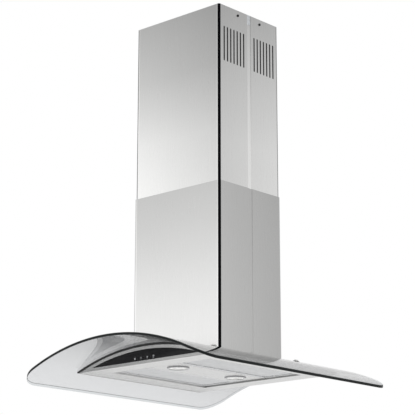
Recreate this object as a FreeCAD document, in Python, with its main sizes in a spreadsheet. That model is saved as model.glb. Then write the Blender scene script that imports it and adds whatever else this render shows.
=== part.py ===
import FreeCAD, Part
import math
import os
from FreeCAD import Vector, Rotation, Placement
import Sketcher

# Island range hood with a curved glass canopy, hung from the ceiling.
# Millimetres, +Z up, X across the front, -Y is the front.
# The origin is the middle of the ceiling plate's top face, so the whole hood is below z = 0.
# Heights are written above the underside of the body and turned into z by level().

SIZES = [
    # name, value, what it is
    ("total_height", 1161, "ceiling to the underside of the body"),
    ("seam_height", 573, "top edge of the lower cover above the underside"),
    ("cover_overlap", 50, "how far the upper cover reaches into the lower one"),
    ("glass_width", 776, "canopy across the front, tip to tip"),
    ("glass_depth", 900, "canopy front to back"),
    ("glass_thickness", 8, "canopy sheet"),
    ("glass_radius", 808, "bend of the canopy's upper face"),
    ("glass_crest", 68, "top of the arch above the underside"),
    ("glass_corner", 70, "corner radius of the canopy in plan"),
    ("glass_cut_gap", 6, "canopy cut-out round the blower box"),
    ("glass_bolt_x", 203, "canopy fixing from the middle, along the arch"),
    ("glass_bolt_y", 195, "canopy fixing from the middle, front to back"),
    ("glass_stud", 3, "radius of a canopy stud"),
    ("glass_bush", 0.3, "gap round a stud in its bush"),
    ("glass_head", 6.5, "radius of a canopy bolt's head"),
    ("glass_head_height", 3.6, "canopy bolt's head"),
    ("glass_head_bevel", 1, "bevel round that head"),
    ("glass_socket", 2.9, "radius to the corners of the socket in that head"),
    ("glass_socket_depth", 2, "socket in that head"),
    ("glass_washer", 10, "radius of a canopy washer"),
    ("glass_washer_thickness", 1.2, "canopy washer"),
    ("glass_washer_relief", 0.1, "rubber washer below the curved sheet"),
    ("glass_hole", 5, "radius of a canopy hole"),
    ("seal_thickness", 3, "rubber between body and canopy"),
    ("seal_width", 8, "rubber, front to back"),
    ("seal_end", 2, "where the rubber stops short of the body's tips"),
    ("seal_lip", 4, "lip of the rubber that hangs over the fascia's edge"),
    ("seal_lip_thickness", 1, "that lip, front to back"),
    ("body_depth", 568, "body front to back"),
    ("shell_sheet", 1.2, "sheet of the body shell"),
    ("fascia_sheet", 1.2, "sheet of the front and rear fascia"),
    ("panel_floor", 10, "lower edge of the control panel"),
    ("panel_band", 14, "silver band over the control panel"),
    ("panel_thickness", 4, "control panel"),
    ("panel_proud", 0.5, "control panel in front of the fascia"),
    ("panel_gap", 0.4, "gap round the control panel"),
    ("key_pitch", 26, "key to key"),
    ("key_height", 18, "middle of the keys above the underside"),
    ("key_width", 9, "key cap across"),
    ("key_rise", 10, "key cap, top to bottom"),
    ("key_proud", 1, "key cap in front of the panel"),
    ("key_gap", 0.3, "gap round a key cap"),
    ("key_rim", 1.5, "rim that keeps a key behind the panel"),
    ("key_rim_thickness", 1, "rim, front to back"),
    ("key_rim_gap", 0.2, "rim to the back of the panel"),
    ("key_stem", 2, "radius of a key's stem"),
    ("key_stem_length", 5.3, "stem behind the rim"),
    ("key_travel", 1.2, "how far a key goes in"),
    ("switch_gap", 0.1, "left between stem and switch at full travel"),
    ("switch_width", 6, "switch body across"),
    ("switch_body", 4.3, "switch body, front to back"),
    ("switch_plunger", 1.7, "radius of a switch's plunger"),
    ("switch_reach", 6.4, "plunger in front of the switch body"),
    ("board_thickness", 1.6, "circuit board"),
    ("housing_half", 62, "control housing from the middle to one end"),
    ("housing_floor", 9, "underside of the control housing"),
    ("housing_rise", 29, "control housing, top to bottom"),
    ("housing_wall", 2, "control housing wall"),
    ("pan_sheet", 1, "sheet of the bottom pan"),
    ("pan_gap", 0.2, "pan edge to shell and fascia"),
    ("recess_half_x", 205, "filter recess, middle to side wall"),
    ("recess_half_y", 214, "filter recess, middle to front wall"),
    ("recess_depth", 14, "filter recess, underside to top of its ledge"),
    ("recess_ledge", 12, "ledge round the top of the recess"),
    ("ledge_sheet", 1, "sheet of the ledge"),
    ("strip_half", 58, "lamp strip, middle to side"),
    ("strip_sheet", 1, "sheet of the lamp strip"),
    ("strip_level", 3.7, "underside of the lamp strip and filters"),
    ("strip_end_gap", 1, "lamp strip to recess wall"),
    ("lamp_y", 134, "lamp from the middle, front to back"),
    ("lamp_bezel", 35, "radius of a lamp's bezel"),
    ("lamp_can", 32.5, "radius of a lamp's can"),
    ("lamp_wall", 1.2, "wall of a lamp's can"),
    ("lamp_drop", 3, "bezel below the lamp strip"),
    ("lamp_height", 21.5, "can above the underside of the strip"),
    ("lamp_hole_gap", 0.4, "strip hole round a lamp's can"),
    ("lamp_lip", 1.5, "lip that carries the lens, thickness"),
    ("lamp_lip_width", 2.3, "lip that carries the lens, width"),
    ("lens_thickness", 2, "lamp lens"),
    ("lens_gap", 0.3, "gap round a lens"),
    ("led_radius", 28, "radius of a lamp's circuit board"),
    ("driver_length", 90, "lamp driver, front to back"),
    ("driver_width", 40, "lamp driver across"),
    ("driver_height", 18, "lamp driver, top to bottom"),
    ("filter_gap", 1.5, "filter to the recess's side wall and lamp strip"),
    ("filter_front_gap", 3, "filter to the recess's front wall"),
    ("filter_thickness", 9, "filter frame"),
    ("filter_rail", 14, "rail of the filter frame"),
    ("filter_mesh", 5, "thickness of the filter mesh"),
    ("filter_mesh_gap", 0.2, "mesh to rail"),
    ("hinge_rod", 2, "radius of the filters' hinge rod"),
    ("hinge_gap", 0.05, "running gap round the hinge rod"),
    ("hinge_set_back", 5.5, "hinge rod to the recess's rear wall"),
    ("hinge_proud", 0.5, "hinge rod past the recess walls"),
    ("latch_x", 118, "filter latch from the middle"),
    ("latch_half", 12, "half width of a latch"),
    ("latch_length", 7, "latch, front to back"),
    ("latch_travel", 4, "how far a latch slides back"),
    ("latch_gap", 0.3, "gap round a latch"),
    ("latch_front_wall", 1.7, "rail in front of a latch"),
    ("latch_proud", 1, "thumb pad below the rail"),
    ("latch_rise", 6.8, "latch above the rail's underside"),
    ("nose_half", 5, "half width of a latch's nose"),
    ("nose_low", 3.1, "underside of the nose above the rail's underside"),
    ("nose_high", 6.3, "top of the nose above the rail's underside"),
    ("nose_reach", 2.2, "nose in front of the rail"),
    ("keeper_sheet", 0.4, "spring leaf that holds a latch's nose"),
    ("keeper_half", 8, "half width of a spring leaf"),
    ("keeper_hook_gap", 0.4, "leaf's hook to the nose and to the rail"),
    ("keeper_top_gap", 1, "spring leaf to the ledge above it"),
    ("box_half_x", 150, "blower box, middle to side"),
    ("box_half_y", 125, "blower box, middle to front"),
    ("box_top", 300, "top of the blower box above the underside"),
    ("box_sheet", 1.5, "sheet of the blower box"),
    ("lug_half", 30, "half width of a cover lug"),
    ("lug_level", 78, "cover lug above the underside"),
    ("lug_sheet", 2, "sheet of a cover lug"),
    ("lug_flange", 15, "upturned end of a cover lug"),
    ("inlet_level", 62, "inlet plate above the underside"),
    ("inlet_sheet", 1.5, "sheet of the inlet plate"),
    ("inlet_radius", 74, "throat of the inlet plate"),
    ("inlet_rise", 7, "throat above the inlet plate"),
    ("fan_level", 67, "underside of the impeller"),
    ("fan_radius", 100, "impeller"),
    ("fan_eye", 78, "radius of the impeller's inlet"),
    ("fan_depth", 16, "blades, inside to outside"),
    ("fan_disc", 2, "impeller's ring and back disc"),
    ("fan_height", 74, "impeller, ring to back disc"),
    ("fan_hub", 16, "radius of the impeller's hub"),
    ("fan_hub_height", 25, "hub along the shaft"),
    ("blade_count", 32, "impeller blades"),
    ("blade_thickness", 3, "impeller blade"),
    ("blade_sweep", 8.5, "how far a blade leans forward at its rim"),
    ("shaft_radius", 4, "motor shaft"),
    ("shaft_gap", 0.05, "running gap round the shaft"),
    ("shaft_grip", 0.02, "shaft in the impeller's hub"),
    ("motor_radius", 48, "motor"),
    ("motor_level", 157, "underside of the motor"),
    ("motor_height", 80, "motor, top to bottom"),
    ("motor_boss", 30, "radius of the motor's end boss"),
    ("motor_shoulder", 7, "slope between boss and can"),
    ("bracket_half_y", 30, "half width of the motor bracket"),
    ("bracket_sheet", 2.5, "sheet of the motor bracket"),
    ("bracket_drop", 20, "bracket's end flanges"),
    ("bracket_gap", 0.2, "bracket and inlet plate to box wall"),
    ("frame_sheet", 2, "plate on the blower box"),
    ("collar_radius", 74.5, "outlet collar, outside, for a 150 duct"),
    ("collar_wall", 1.2, "collar wall"),
    ("collar_rise", 48, "collar above the plate"),
    ("collar_flange", 15, "collar's flange"),
    ("flap_level", 28, "damper flaps above the plate"),
    ("flap_offset", 4, "flap pin from the middle"),
    ("flap_pin", 1.5, "radius of a flap's pin"),
    ("flap_pin_inset", 0.75, "end of a pin inside the collar's outer face"),
    ("flap_bore_gap", 0.05, "running gap round a pin"),
    ("flap_barrel", 2.8, "radius of a flap's barrel"),
    ("flap_sheet", 1, "damper flap"),
    ("flap_edge_gap", 1, "flap to collar"),
    ("flap_seat", 2.8, "ledge that carries the closed flaps"),
    ("flap_seat_gap", 0.3, "flap to ledge"),
    ("flap_end_gap", 5, "barrel to collar at the ends"),
    ("power_width", 24, "power box, box wall to its outer face"),
    ("power_half", 50, "half the power box, front to back"),
    ("power_foot", 90, "underside of the power box"),
    ("power_height", 100, "power box, top to bottom"),
    ("power_wall", 2, "power box wall"),
    ("gland_radius", 8, "cable gland, across its hexagon's corners"),
    ("gland_dome", 6.4, "radius of the gland's dome"),
    ("gland_height", 16, "cable gland"),
    ("gland_bore", 4, "cable gland's bore"),
    ("lead_hole", 6, "half width of the ways for the mains lead, above the gland"),
    ("capacitor_radius", 12, "capacitor"),
    ("capacitor_height", 60, "capacitor, top to bottom"),
    ("capacitor_level", 100, "underside of the capacitor"),
    ("clip_sheet", 1, "capacitor clip"),
    ("clip_height", 12, "capacitor clip, top to bottom"),
    ("cover_half_x", 184.5, "lower cover, middle to side"),
    ("cover_half_y", 147.5, "lower cover, middle to front"),
    ("cover_sheet", 1, "sheet of the covers"),
    ("cover_bend", 5.5, "outer bend of the covers"),
    ("cover_step", 1.5, "space between lower and upper cover"),
    ("cover_joint", 17, "space between the two halves of a cover, closed by a strip behind"),
    ("cover_foot", 0.2, "lower cover to glass"),
    ("lap_sheet", 0.8, "strip behind the joint of two halves"),
    ("lap_half", 15, "half width of that strip"),
    ("lap_margin", 0.5, "strip to the cover's edge, and to the canopy"),
    ("ceiling_gap", 1, "upper cover to ceiling"),
    ("slot_count", 7, "vent slots in one group"),
    ("slot_first", 26, "first vent slot from the middle"),
    ("slot_pitch", 15.8, "vent slot to vent slot"),
    ("slot_width", 6, "vent slot"),
    ("slot_length", 117, "vent slot, top to bottom"),
    ("slot_drop", 72, "top of the vent slots below the ceiling"),
    ("plate_sheet", 3, "ceiling plate"),
    ("plate_gap", 0.2, "ceiling plate to cover"),
    ("plate_bolt_x", 280, "ceiling bolts across"),
    ("plate_bolt_y", 180, "ceiling bolts front to back"),
    ("plate_bolt_hole", 4.5, "radius of a ceiling bolt hole"),
    ("duct_hole", 85, "radius of the hole for the duct"),
    ("flange_drop", 34, "flange that carries the upper cover"),
    ("flange_sheet", 2, "flange"),
    ("flange_half", 80, "half length of the flange"),
    ("screw_y", 54, "cover screw from the middle"),
    ("screw_drop", 18, "cover screw below the ceiling"),
    ("screw_radius", 2, "cover screw"),
    ("screw_gap", 0.05, "screw in its hole"),
    ("screw_head", 4, "radius of a screw's head"),
    ("screw_head_height", 2.2, "screw head"),
    ("screw_length", 6, "screw behind its head"),
    ("post_gap", 0.5, "upper post to the cover's bend, and lower post to upper post"),
    ("post_sheet", 2, "post angle"),
    ("post_leg", 25, "leg of an upper post"),
    ("lower_post_leg", 22, "leg of a lower post"),
    ("upper_post_foot", 520, "lower end of the upper posts"),
    ("lower_post_foot", 250, "lower end of the lower posts"),
    ("lower_post_top", 620, "upper end of the lower posts"),
    ("post_bolt_x", 166, "post bolt from the middle"),
    ("post_bolt_level", 600, "post bolt above the underside"),
    ("post_bolt_radius", 3, "post bolt"),
    ("post_bolt_gap", 0.3, "post bolt in the upper post's slot"),
    ("post_bolt_head", 5.7, "post bolt's head, to its corners"),
    ("post_bolt_head_height", 4, "post bolt's head"),
    ("lift_up", 400, "how far the hood can be raised"),
    ("lift_down", 20, "how far the hood can be lowered"),
    ("cable_radius", 2.2, "inner cables"),
    ("cable_bend", 12, "bend of the inner cables"),
    ("cable_x", 153.2, "where the cables pass the canopy"),
    ("cable_y", 20, "cables from the middle, front to back"),
    ("cable_hole", 2.6, "hole in the shell for a cable"),
    ("cable_run", 16, "driver cable above the underside"),
    ("panel_run", 20, "panel cable above the underside"),
    ("panel_run_x", 42, "panel cable from the middle"),
    ("cut_margin", 5, "how far a cut runs past the sheet it goes through"),
]

doc = FreeCAD.newDocument("glass_hood")
sheet = doc.addObject("Spreadsheet::Sheet", "Sizes")


class Measure:
    """A size with its value and the formula that it comes from."""

    def __init__(self, value, formula):
        self.value = value
        self.formula = formula

    def __add__(self, other):
        other = measure(other)
        return Measure(self.value + other.value, f"({self.formula} + {other.formula})")

    def __sub__(self, other):
        other = measure(other)
        return Measure(self.value - other.value, f"({self.formula} - {other.formula})")

    def __mul__(self, other):
        other = measure(other)
        return Measure(self.value * other.value, f"({self.formula} * {other.formula})")

    def __truediv__(self, other):
        other = measure(other)
        return Measure(self.value / other.value, f"({self.formula} / {other.formula})")

    def __neg__(self):
        return Measure(-self.value, f"(-1 * {self.formula})")

    __radd__ = __add__
    __rmul__ = __mul__


def measure(number):
    """A plain number as a Measure."""
    if isinstance(number, Measure):
        return number
    return Measure(float(number), f"({number})")


def root(square):
    return Measure(math.sqrt(square.value), f"sqrt({square.formula})")


class Sizes:
    """Reads one driving size from the sheet by its name."""

    def __getattr__(self, name):
        return Measure(float(sheet.get(name)), f"Sizes.{name}")


def fill_sheet():
    for row, (name, value, meaning) in enumerate(SIZES, start=1):
        sheet.set(f"A{row}", meaning)
        sheet.set(f"B{row}", str(value))
        sheet.setAlias(f"B{row}", name)
    doc.recompute()


fill_sheet()
s = Sizes()
ZERO = measure(0)
SIDES = (-1, 1)
KEYS = ("power", "slower", "faster", "light")
CORNER_SHARE = measure(1) - root(measure(0.5))  # of a bend's radius, lost on the diagonal
ALONG_X = Rotation(Vector(0, 1, 0), 90)
ALONG_Y = Rotation(Vector(1, 0, 0), -90)


# ---------------------------------------------------------------- places

def level(height):
    """z of a height above the underside of the body."""
    return measure(height) - s.total_height


arch_drop = s.glass_radius - s.glass_crest
seat_radius = s.glass_radius - s.glass_thickness - s.seal_thickness
shell_inner = seat_radius - s.shell_sheet
glass_under = s.glass_radius - s.glass_thickness
body_tip = root(seat_radius * seat_radius - arch_drop * arch_drop)
body_front = s.body_depth / 2
panel_radius = seat_radius - s.panel_band
upper_half_x = s.cover_half_x - s.cover_sheet - s.cover_step
upper_half_y = s.cover_half_y - s.cover_sheet - s.cover_step
plate_half_x = upper_half_x - s.cover_sheet - s.plate_gap
plate_half_y = upper_half_y - s.cover_sheet - s.plate_gap
bend_room = (s.cover_bend - s.cover_sheet) * CORNER_SHARE
post_face_x = upper_half_x - s.cover_sheet - bend_room - s.post_gap
post_face_y = upper_half_y - s.cover_sheet - bend_room - s.post_gap
lower_face_x = post_face_x - s.post_sheet - s.post_gap
lower_face_y = post_face_y - s.post_sheet - s.post_gap
panel_front = body_front + s.panel_proud
panel_back = panel_front - s.panel_thickness
rim_front = panel_back - s.key_rim_gap
stem_end = rim_front - s.key_rim_thickness - s.key_stem_length
switch_front = stem_end - s.key_travel - s.switch_gap
board_front = switch_front - s.switch_reach - s.switch_body
housing_back = board_front - s.board_thickness - s.housing_wall
ledge_under = s.recess_depth - s.ledge_sheet
frame_low = s.strip_level
frame_high = s.strip_level + s.filter_thickness
hinge_y = s.recess_half_y - s.hinge_set_back
hinge_level = frame_low + s.filter_thickness / 2
filter_in = s.strip_half + s.filter_gap
filter_out = s.recess_half_x - s.filter_gap
filter_front = s.recess_half_y - s.filter_front_gap
collar_foot = s.box_top + s.frame_sheet
flap_z = collar_foot + s.flap_level
lamp_top = s.strip_level + s.lamp_height
lead_x = s.box_half_x + s.power_width / 2
lead_near = lead_x - s.lead_hole
lead_far = lead_x + s.lead_hole


def arch(radius, x):
    """z of an arc round the canopy's axis, x away from the middle."""
    return level(root(radius * radius - x * x) - arch_drop)


# ---------------------------------------------------------------- sketches

def origin_plane(body, role):
    return [feature for feature in body.Origin.OriginFeatures if feature.Role == role][0]


def arc_between(start, end, radius):
    """An arc from start to end; a positive radius turns left, a negative one right."""
    first, last = (start, end) if radius > 0 else (end, start)
    size = abs(radius)
    middle = (first + last) * 0.5
    half = (last - first).Length / 2
    along = (last - first).normalize()
    left = Vector(-along.y, along.x, 0)
    centre = middle + left * math.sqrt(max(size * size - half * half, 0))
    begin = math.atan2(first.y - centre.y, first.x - centre.x)
    finish = math.atan2(last.y - centre.y, last.x - centre.x)
    if finish <= begin:
        finish += 2 * math.pi
    return Part.ArcOfCircle(Part.Circle(centre, Vector(0, 0, 1), size), begin, finish)


def add_constraint(sketch, kind, *values, formula=None):
    index = sketch.addConstraint(Sketcher.Constraint(kind, *values))
    if formula:
        sketch.setExpression(f"Constraints[{index}]", formula)


def draw_loop(sketch, points):
    """Closed outline. A point is (u, v) or (u, v, radius of the arc to the next point)."""
    corners = [Vector(point[0].value, point[1].value, 0) for point in points]
    first = sketch.GeometryCount
    starts = []
    for index, point in enumerate(points):
        end = corners[(index + 1) % len(points)]
        if len(point) == 3:
            sketch.addGeometry(arc_between(corners[index], end, point[2].value), False)
            starts.append((1, 2) if point[2].value > 0 else (2, 1))
        else:
            sketch.addGeometry(Part.LineSegment(corners[index], end), False)
            starts.append((1, 2))
    for index, point in enumerate(points):
        after = (index + 1) % len(points)
        here = first + index
        add_constraint(sketch, "Coincident", here, starts[index][1], first + after, starts[after][0])
        for kind, place in (("DistanceX", point[0]), ("DistanceY", point[1])):
            add_constraint(sketch, kind, -1, 1, here, starts[index][0], place.value,
                           formula=place.formula)
        if len(point) == 3:
            size = point[2] if point[2].value > 0 else -point[2]
            add_constraint(sketch, "Radius", here, size.value, formula=size.formula)


def draw_circle(sketch, u, v, radius):
    index = sketch.GeometryCount
    sketch.addGeometry(Part.Circle(Vector(u.value, v.value, 0), Vector(0, 0, 1), radius.value), False)
    add_constraint(sketch, "DistanceX", -1, 1, index, 3, u.value, formula=u.formula)
    add_constraint(sketch, "DistanceY", -1, 1, index, 3, v.value, formula=v.formula)
    add_constraint(sketch, "Radius", index, radius.value, formula=radius.formula)


def sketch_on(body, role, at, loops=(), circles=()):
    """Sketch parallel to an origin plane. at is its place along X, Y or Z."""
    sketch = body.newObject("Sketcher::SketchObject", "sketch")
    sketch.AttachmentSupport = [(origin_plane(body, role), "")]
    sketch.MapMode = "FlatFace"
    offset = -at if role == "XZ_Plane" else at
    sketch.AttachmentOffset = Placement(Vector(0, 0, offset.value), Rotation())
    sketch.setExpression("AttachmentOffset.Base.z", offset.formula)
    for points in loops:
        draw_loop(sketch, points)
    for u, v, radius in circles:
        draw_circle(sketch, u, v, radius)
    return sketch


def new_body(label):
    body = doc.addObject("PartDesign::Body", label)
    body.Label = label
    return body


def pad(body, sketch, length):
    """Grows a sketch along +X or +Z, or along -Y for a sketch that faces the front."""
    feature = body.newObject("PartDesign::Pad", "pad")
    feature.Profile = sketch
    feature.Length = length.value
    feature.setExpression("Length", length.formula)
    return feature


def pocket(body, sketch, length):
    """Cuts in the direction in which pad grows."""
    feature = body.newObject("PartDesign::Pocket", "pocket")
    feature.Profile = sketch
    feature.Length = length.value
    feature.setExpression("Length", length.formula)
    feature.Reversed = True
    return feature


def revolve(body, sketch):
    """Turns a sketch on the XZ plane round its own upright axis."""
    feature = body.newObject("PartDesign::Revolution", "revolution")
    feature.Profile = sketch
    feature.ReferenceAxis = (sketch, ["V_Axis"])
    return feature


def rectangle(x_low, x_high, y_low, y_high):
    return [(x_low, y_low), (x_high, y_low), (x_high, y_high), (x_low, y_high)]


def centred(half_x, half_y):
    return rectangle(-half_x, half_x, -half_y, half_y)


def rounded(half_x, half_y, corner):
    """Rectangle round the middle with round corners."""
    x, y = half_x - corner, half_y - corner
    return [(-x, -half_y), (x, -half_y, corner), (half_x, -y), (half_x, y, corner),
            (x, half_y), (-x, half_y, corner), (-half_x, y), (-half_x, -y, corner)]


def segment(radius, floor):
    """Area between a level line and an arc round the canopy's axis."""
    rise = arch_drop + floor
    tip = root(radius * radius - rise * rise)
    return [(-tip, level(floor)), (tip, level(floor), radius)]


def under_arch(radius, half):
    """Area under an arc round the canopy's axis, down to its own axis."""
    return [(-half, level(-arch_drop)), (half, level(-arch_drop)),
            (half, arch(radius, half), radius), (-half, arch(radius, half))]


# ---------------------------------------------------------------- plain solids

def place(thing, x, y, z, turn=Rotation()):
    thing.Placement = Placement(Vector(x.value, y.value, z.value), turn)
    for axis, where in zip("xyz", (x, y, z)):
        thing.setExpression(f"Placement.Base.{axis}", where.formula)
    return thing


def box(x_low, x_high, y_low, y_high, z_low, z_high):
    thing = doc.addObject("Part::Box", "block")
    for name, size in (("Length", x_high - x_low), ("Width", y_high - y_low), ("Height", z_high - z_low)):
        setattr(thing, name, size.value)
        thing.setExpression(name, size.formula)
    return place(thing, x_low, y_low, z_low)


def rod(radius, length, x, y, z, turn=Rotation()):
    thing = doc.addObject("Part::Cylinder", "rod")
    for name, size in (("Radius", radius), ("Height", length)):
        setattr(thing, name, size.value)
        thing.setExpression(name, size.formula)
    return place(thing, x, y, z, turn)


def hexagon(radius, length, x, y, z, turn=Rotation()):
    thing = doc.addObject("Part::Prism", "hexagon")
    thing.Polygon = 6
    for name, size in (("Circumradius", radius), ("Height", length)):
        setattr(thing, name, size.value)
        thing.setExpression(name, size.formula)
    return place(thing, x, y, z, turn)


def joined(*pieces):
    thing = doc.addObject("Part::MultiFuse", "joined")
    thing.Shapes = list(pieces)
    return thing


def cut(base, tool):
    thing = doc.addObject("Part::Cut", "cut")
    thing.Base = base
    thing.Tool = tool
    return thing


def group(pieces):
    thing = doc.addObject("Part::Compound", "group")
    thing.Links = list(pieces)
    return thing


def span(side, near, far):
    """Low and high end of a stretch that lies on one side of the middle."""
    return (near, far) if side > 0 else (-far, -near)


parts = {}


def keep(label, thing):
    thing.Label = label
    parts[label] = thing


# ---------------------------------------------------------------- ceiling

def ceiling_plate():
    """A flanged sheet, parted beside the edge by strips that leave a square way for the mains lead."""
    body = new_body("ceiling_sheet")
    outline = [rounded(plate_half_x, plate_half_y, s.cover_bend)]
    pad(body, sketch_on(body, "XY_Plane", -s.plate_sheet, outline), s.plate_sheet)
    for side in SIDES:
        low, high = span(side, plate_half_x - s.flange_sheet, plate_half_x)
        flange = [rectangle(low, high, -s.flange_half, s.flange_half)]
        pad(body, sketch_on(body, "XY_Plane", -s.flange_drop, flange), s.flange_drop)
    bolts = [(s.plate_bolt_x / 2 * a, s.plate_bolt_y / 2 * b, s.plate_bolt_hole)
             for a in SIDES for b in SIDES]
    duct_way = [(ZERO, ZERO, s.duct_hole)]
    holes = sketch_on(body, "XY_Plane", -s.plate_sheet - s.cut_margin, circles=bolts + duct_way)
    pocket(body, holes, s.plate_sheet + s.cut_margin * 2)
    screws = [(s.screw_y * side, -s.screw_drop, s.screw_radius + s.screw_gap) for side in SIDES]
    reach = plate_half_x + s.cut_margin
    pocket(body, sketch_on(body, "YZ_Plane", -reach, circles=screws), reach * 2)
    parted = cut(body, box(lead_near, lead_far, -plate_half_y - s.cut_margin, plate_half_y + s.cut_margin,
                           -s.plate_sheet - s.cut_margin, s.cut_margin))
    strips = [box(lead_near, lead_far, *span(side, s.lead_hole, plate_half_y), -s.plate_sheet, ZERO)
              for side in SIDES]
    keep("ceiling_plate", group([parted] + strips))


def cover_screws():
    screws = []
    for side in SIDES:
        turn = ALONG_X if side > 0 else Rotation(Vector(0, 1, 0), -90)
        for end in SIDES:
            y, z = s.screw_y * end, -s.screw_drop
            shank = rod(s.screw_radius, s.screw_length, (upper_half_x - s.screw_length) * side, y, z, turn)
            head = rod(s.screw_head, s.screw_head_height, upper_half_x * side, y, z, turn)
            screws.append(joined(shank, head))
    keep("cover_screws", group(screws))


def angle_post(a, b, face_x, face_y, leg, low, high):
    """Upright angle in one corner, with its legs along X and Y."""
    x_leg = span(a, face_x - leg, face_x)
    x_web = span(a, face_x - s.post_sheet, face_x)
    y_leg = span(b, face_y - leg, face_y)
    y_web = span(b, face_y - s.post_sheet, face_y)
    return joined(box(*x_leg, *y_web, low, high), box(*x_web, *y_leg, low, high))


def upper_posts():
    posts = []
    slot = s.post_bolt_radius + s.post_bolt_gap
    low = level(s.post_bolt_level) - s.lift_down
    high = level(s.post_bolt_level) + s.lift_up
    for a in SIDES:
        for b in SIDES:
            post = angle_post(a, b, post_face_x, post_face_y, s.post_leg,
                              level(s.upper_post_foot), -s.plate_sheet)
            x = s.post_bolt_x * a
            y_low, y_high = span(b, post_face_y - s.post_sheet - s.post_gap / 2, post_face_y + s.post_gap / 2)
            ends = [rod(slot, y_high - y_low, x, y_low, z, ALONG_Y) for z in (low, high)]
            hole = joined(box(x - slot, x + slot, y_low, y_high, low, high), *ends)
            posts.append(cut(post, hole))
    keep("upper_posts", group(posts))


# ---------------------------------------------------------------- chimney covers

def cover_outline(side, half_x, half_y):
    """Half of a cover in plan: one face and half of each side wall."""
    joint = s.cover_joint / 2 * side
    bend = s.cover_bend
    inner = bend - s.cover_sheet
    ix, iy = half_x - s.cover_sheet, half_y - s.cover_sheet
    outside, inside = bend * -side, inner * side
    return [(-half_x, joint), (-half_x, (half_y - bend) * side, outside), (-half_x + bend, half_y * side),
            (half_x - bend, half_y * side, outside), (half_x, (half_y - bend) * side), (half_x, joint),
            (ix, joint), (ix, (iy - inner) * side, inside), (ix - inner, iy * side),
            (-ix + inner, iy * side, inside), (-ix, (iy - inner) * side), (-ix, joint)]


def vent_slot(y):
    half = s.slot_width / 2
    top, bottom = -s.slot_drop, -s.slot_drop - s.slot_length
    return [(y + half, bottom + half), (y + half, top - half, half), (y, top, half),
            (y - half, top - half), (y - half, bottom + half, half), (y, bottom, half)]


def upper_cover(label, side):
    body = new_body(label)
    low = level(s.seam_height - s.cover_overlap)
    outline = [cover_outline(side, upper_half_x, upper_half_y)]
    pad(body, sketch_on(body, "XY_Plane", low, outline), -low - s.ceiling_gap)
    reach = upper_half_x + s.cut_margin
    slot = pocket(body, sketch_on(body, "YZ_Plane", -reach, [vent_slot(s.slot_first * side)]), reach * 2)
    row = body.newObject("PartDesign::LinearPattern", "slots")
    row.Originals = [slot]
    row.Direction = (origin_plane(body, "Y_Axis"), [""])
    row.Reversed = side < 0
    row.setExpression("Occurrences", s.slot_count.formula)
    row.setExpression("Length", (s.slot_pitch * (s.slot_count - 1)).formula)
    body.Tip = row
    screw = [(s.screw_y * side, -s.screw_drop, s.screw_radius + s.screw_gap)]
    pocket(body, sketch_on(body, "YZ_Plane", -reach, circles=screw), reach * 2)
    keep(label, body)


def lower_cover(label, side):
    body = new_body(label)
    foot = s.glass_radius + s.cover_foot
    low = arch(foot, s.cover_half_x)
    outline = [cover_outline(side, s.cover_half_x, s.cover_half_y)]
    pad(body, sketch_on(body, "XY_Plane", low, outline), level(s.seam_height) - low)
    reach = s.cover_half_y + s.cut_margin
    below = [under_arch(foot, s.cover_half_x + s.cut_margin)]
    pocket(body, sketch_on(body, "XZ_Plane", reach, below), reach * 2)
    keep(label, body)


def cover_laps(label, half_x, low, high):
    """Strips behind the joints between the two halves of a cover."""
    inner = half_x - s.cover_sheet
    strips = [box(*span(side, inner - s.lap_sheet, inner), -s.lap_half, s.lap_half, low, high)
              for side in SIDES]
    keep(label, group(strips))


# ---------------------------------------------------------------- canopy

def tilted(pieces, side):
    """Turns pieces made at the crest round the canopy's axis, to a canopy fixing."""
    thing = group(pieces)
    sine = s.glass_bolt_x / s.glass_radius * side
    cosine = root(measure(1) - sine * sine)
    axis = level(-arch_drop)
    place(thing, -(axis * sine), ZERO, axis - axis * cosine,
          Rotation(Vector(0, 1, 0), math.degrees(math.asin(sine.value))))
    thing.setExpression("Placement.Rotation.Angle", f"asin({sine.formula})")
    return thing


def at_canopy(radius):
    """z at the crest of an arc round the canopy's axis."""
    return level(radius - arch_drop)


def fixings(make):
    """The four canopy fixings, from a function that makes one at the crest."""
    return [tilted(make(s.glass_bolt_y * end), side) for side in SIDES for end in SIDES]


def canopy_hole(y):
    low = at_canopy(glass_under - s.cut_margin)
    return [rod(s.glass_hole, s.glass_thickness + s.cut_margin * 2, ZERO, y, low)]


def canopy_bolt(y):
    """Stud with a low round head, a bevel round it and a six-sided socket."""
    foot = s.glass_radius + s.glass_washer_thickness
    top = foot + s.glass_head_height
    shoulder = top - s.glass_head_bevel
    stud = rod(s.glass_stud, foot - seat_radius, ZERO, y, at_canopy(seat_radius))
    head = rod(s.glass_head, shoulder - foot, ZERO, y, at_canopy(foot))
    bevel = doc.addObject("Part::Cone", "bevel")
    bevel.setExpression("Radius1", s.glass_head.formula)
    bevel.setExpression("Radius2", (s.glass_head - s.glass_head_bevel).formula)
    bevel.setExpression("Height", s.glass_head_bevel.formula)
    place(bevel, ZERO, y, at_canopy(shoulder))
    socket = doc.addObject("Part::Prism", "socket")
    socket.Polygon = 6
    socket.setExpression("Circumradius", s.glass_socket.formula)
    socket.setExpression("Height", (s.glass_socket_depth + s.cut_margin).formula)
    place(socket, ZERO, y, at_canopy(top - s.glass_socket_depth))
    return [cut(joined(stud, head, bevel), socket)]


def canopy_washer(y):
    rings = []
    rubber = (seat_radius, glass_under - s.glass_washer_relief)
    metal = (s.glass_radius, s.glass_radius + s.glass_washer_thickness)
    for low, high in (rubber, metal):
        disc = rod(s.glass_washer, high - low, ZERO, y, at_canopy(low))
        hole = rod(s.glass_stud + s.glass_bush, high - low + s.cut_margin * 2, ZERO, y,
                   at_canopy(low - s.cut_margin))
        rings.append(cut(disc, hole))
    return rings


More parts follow.
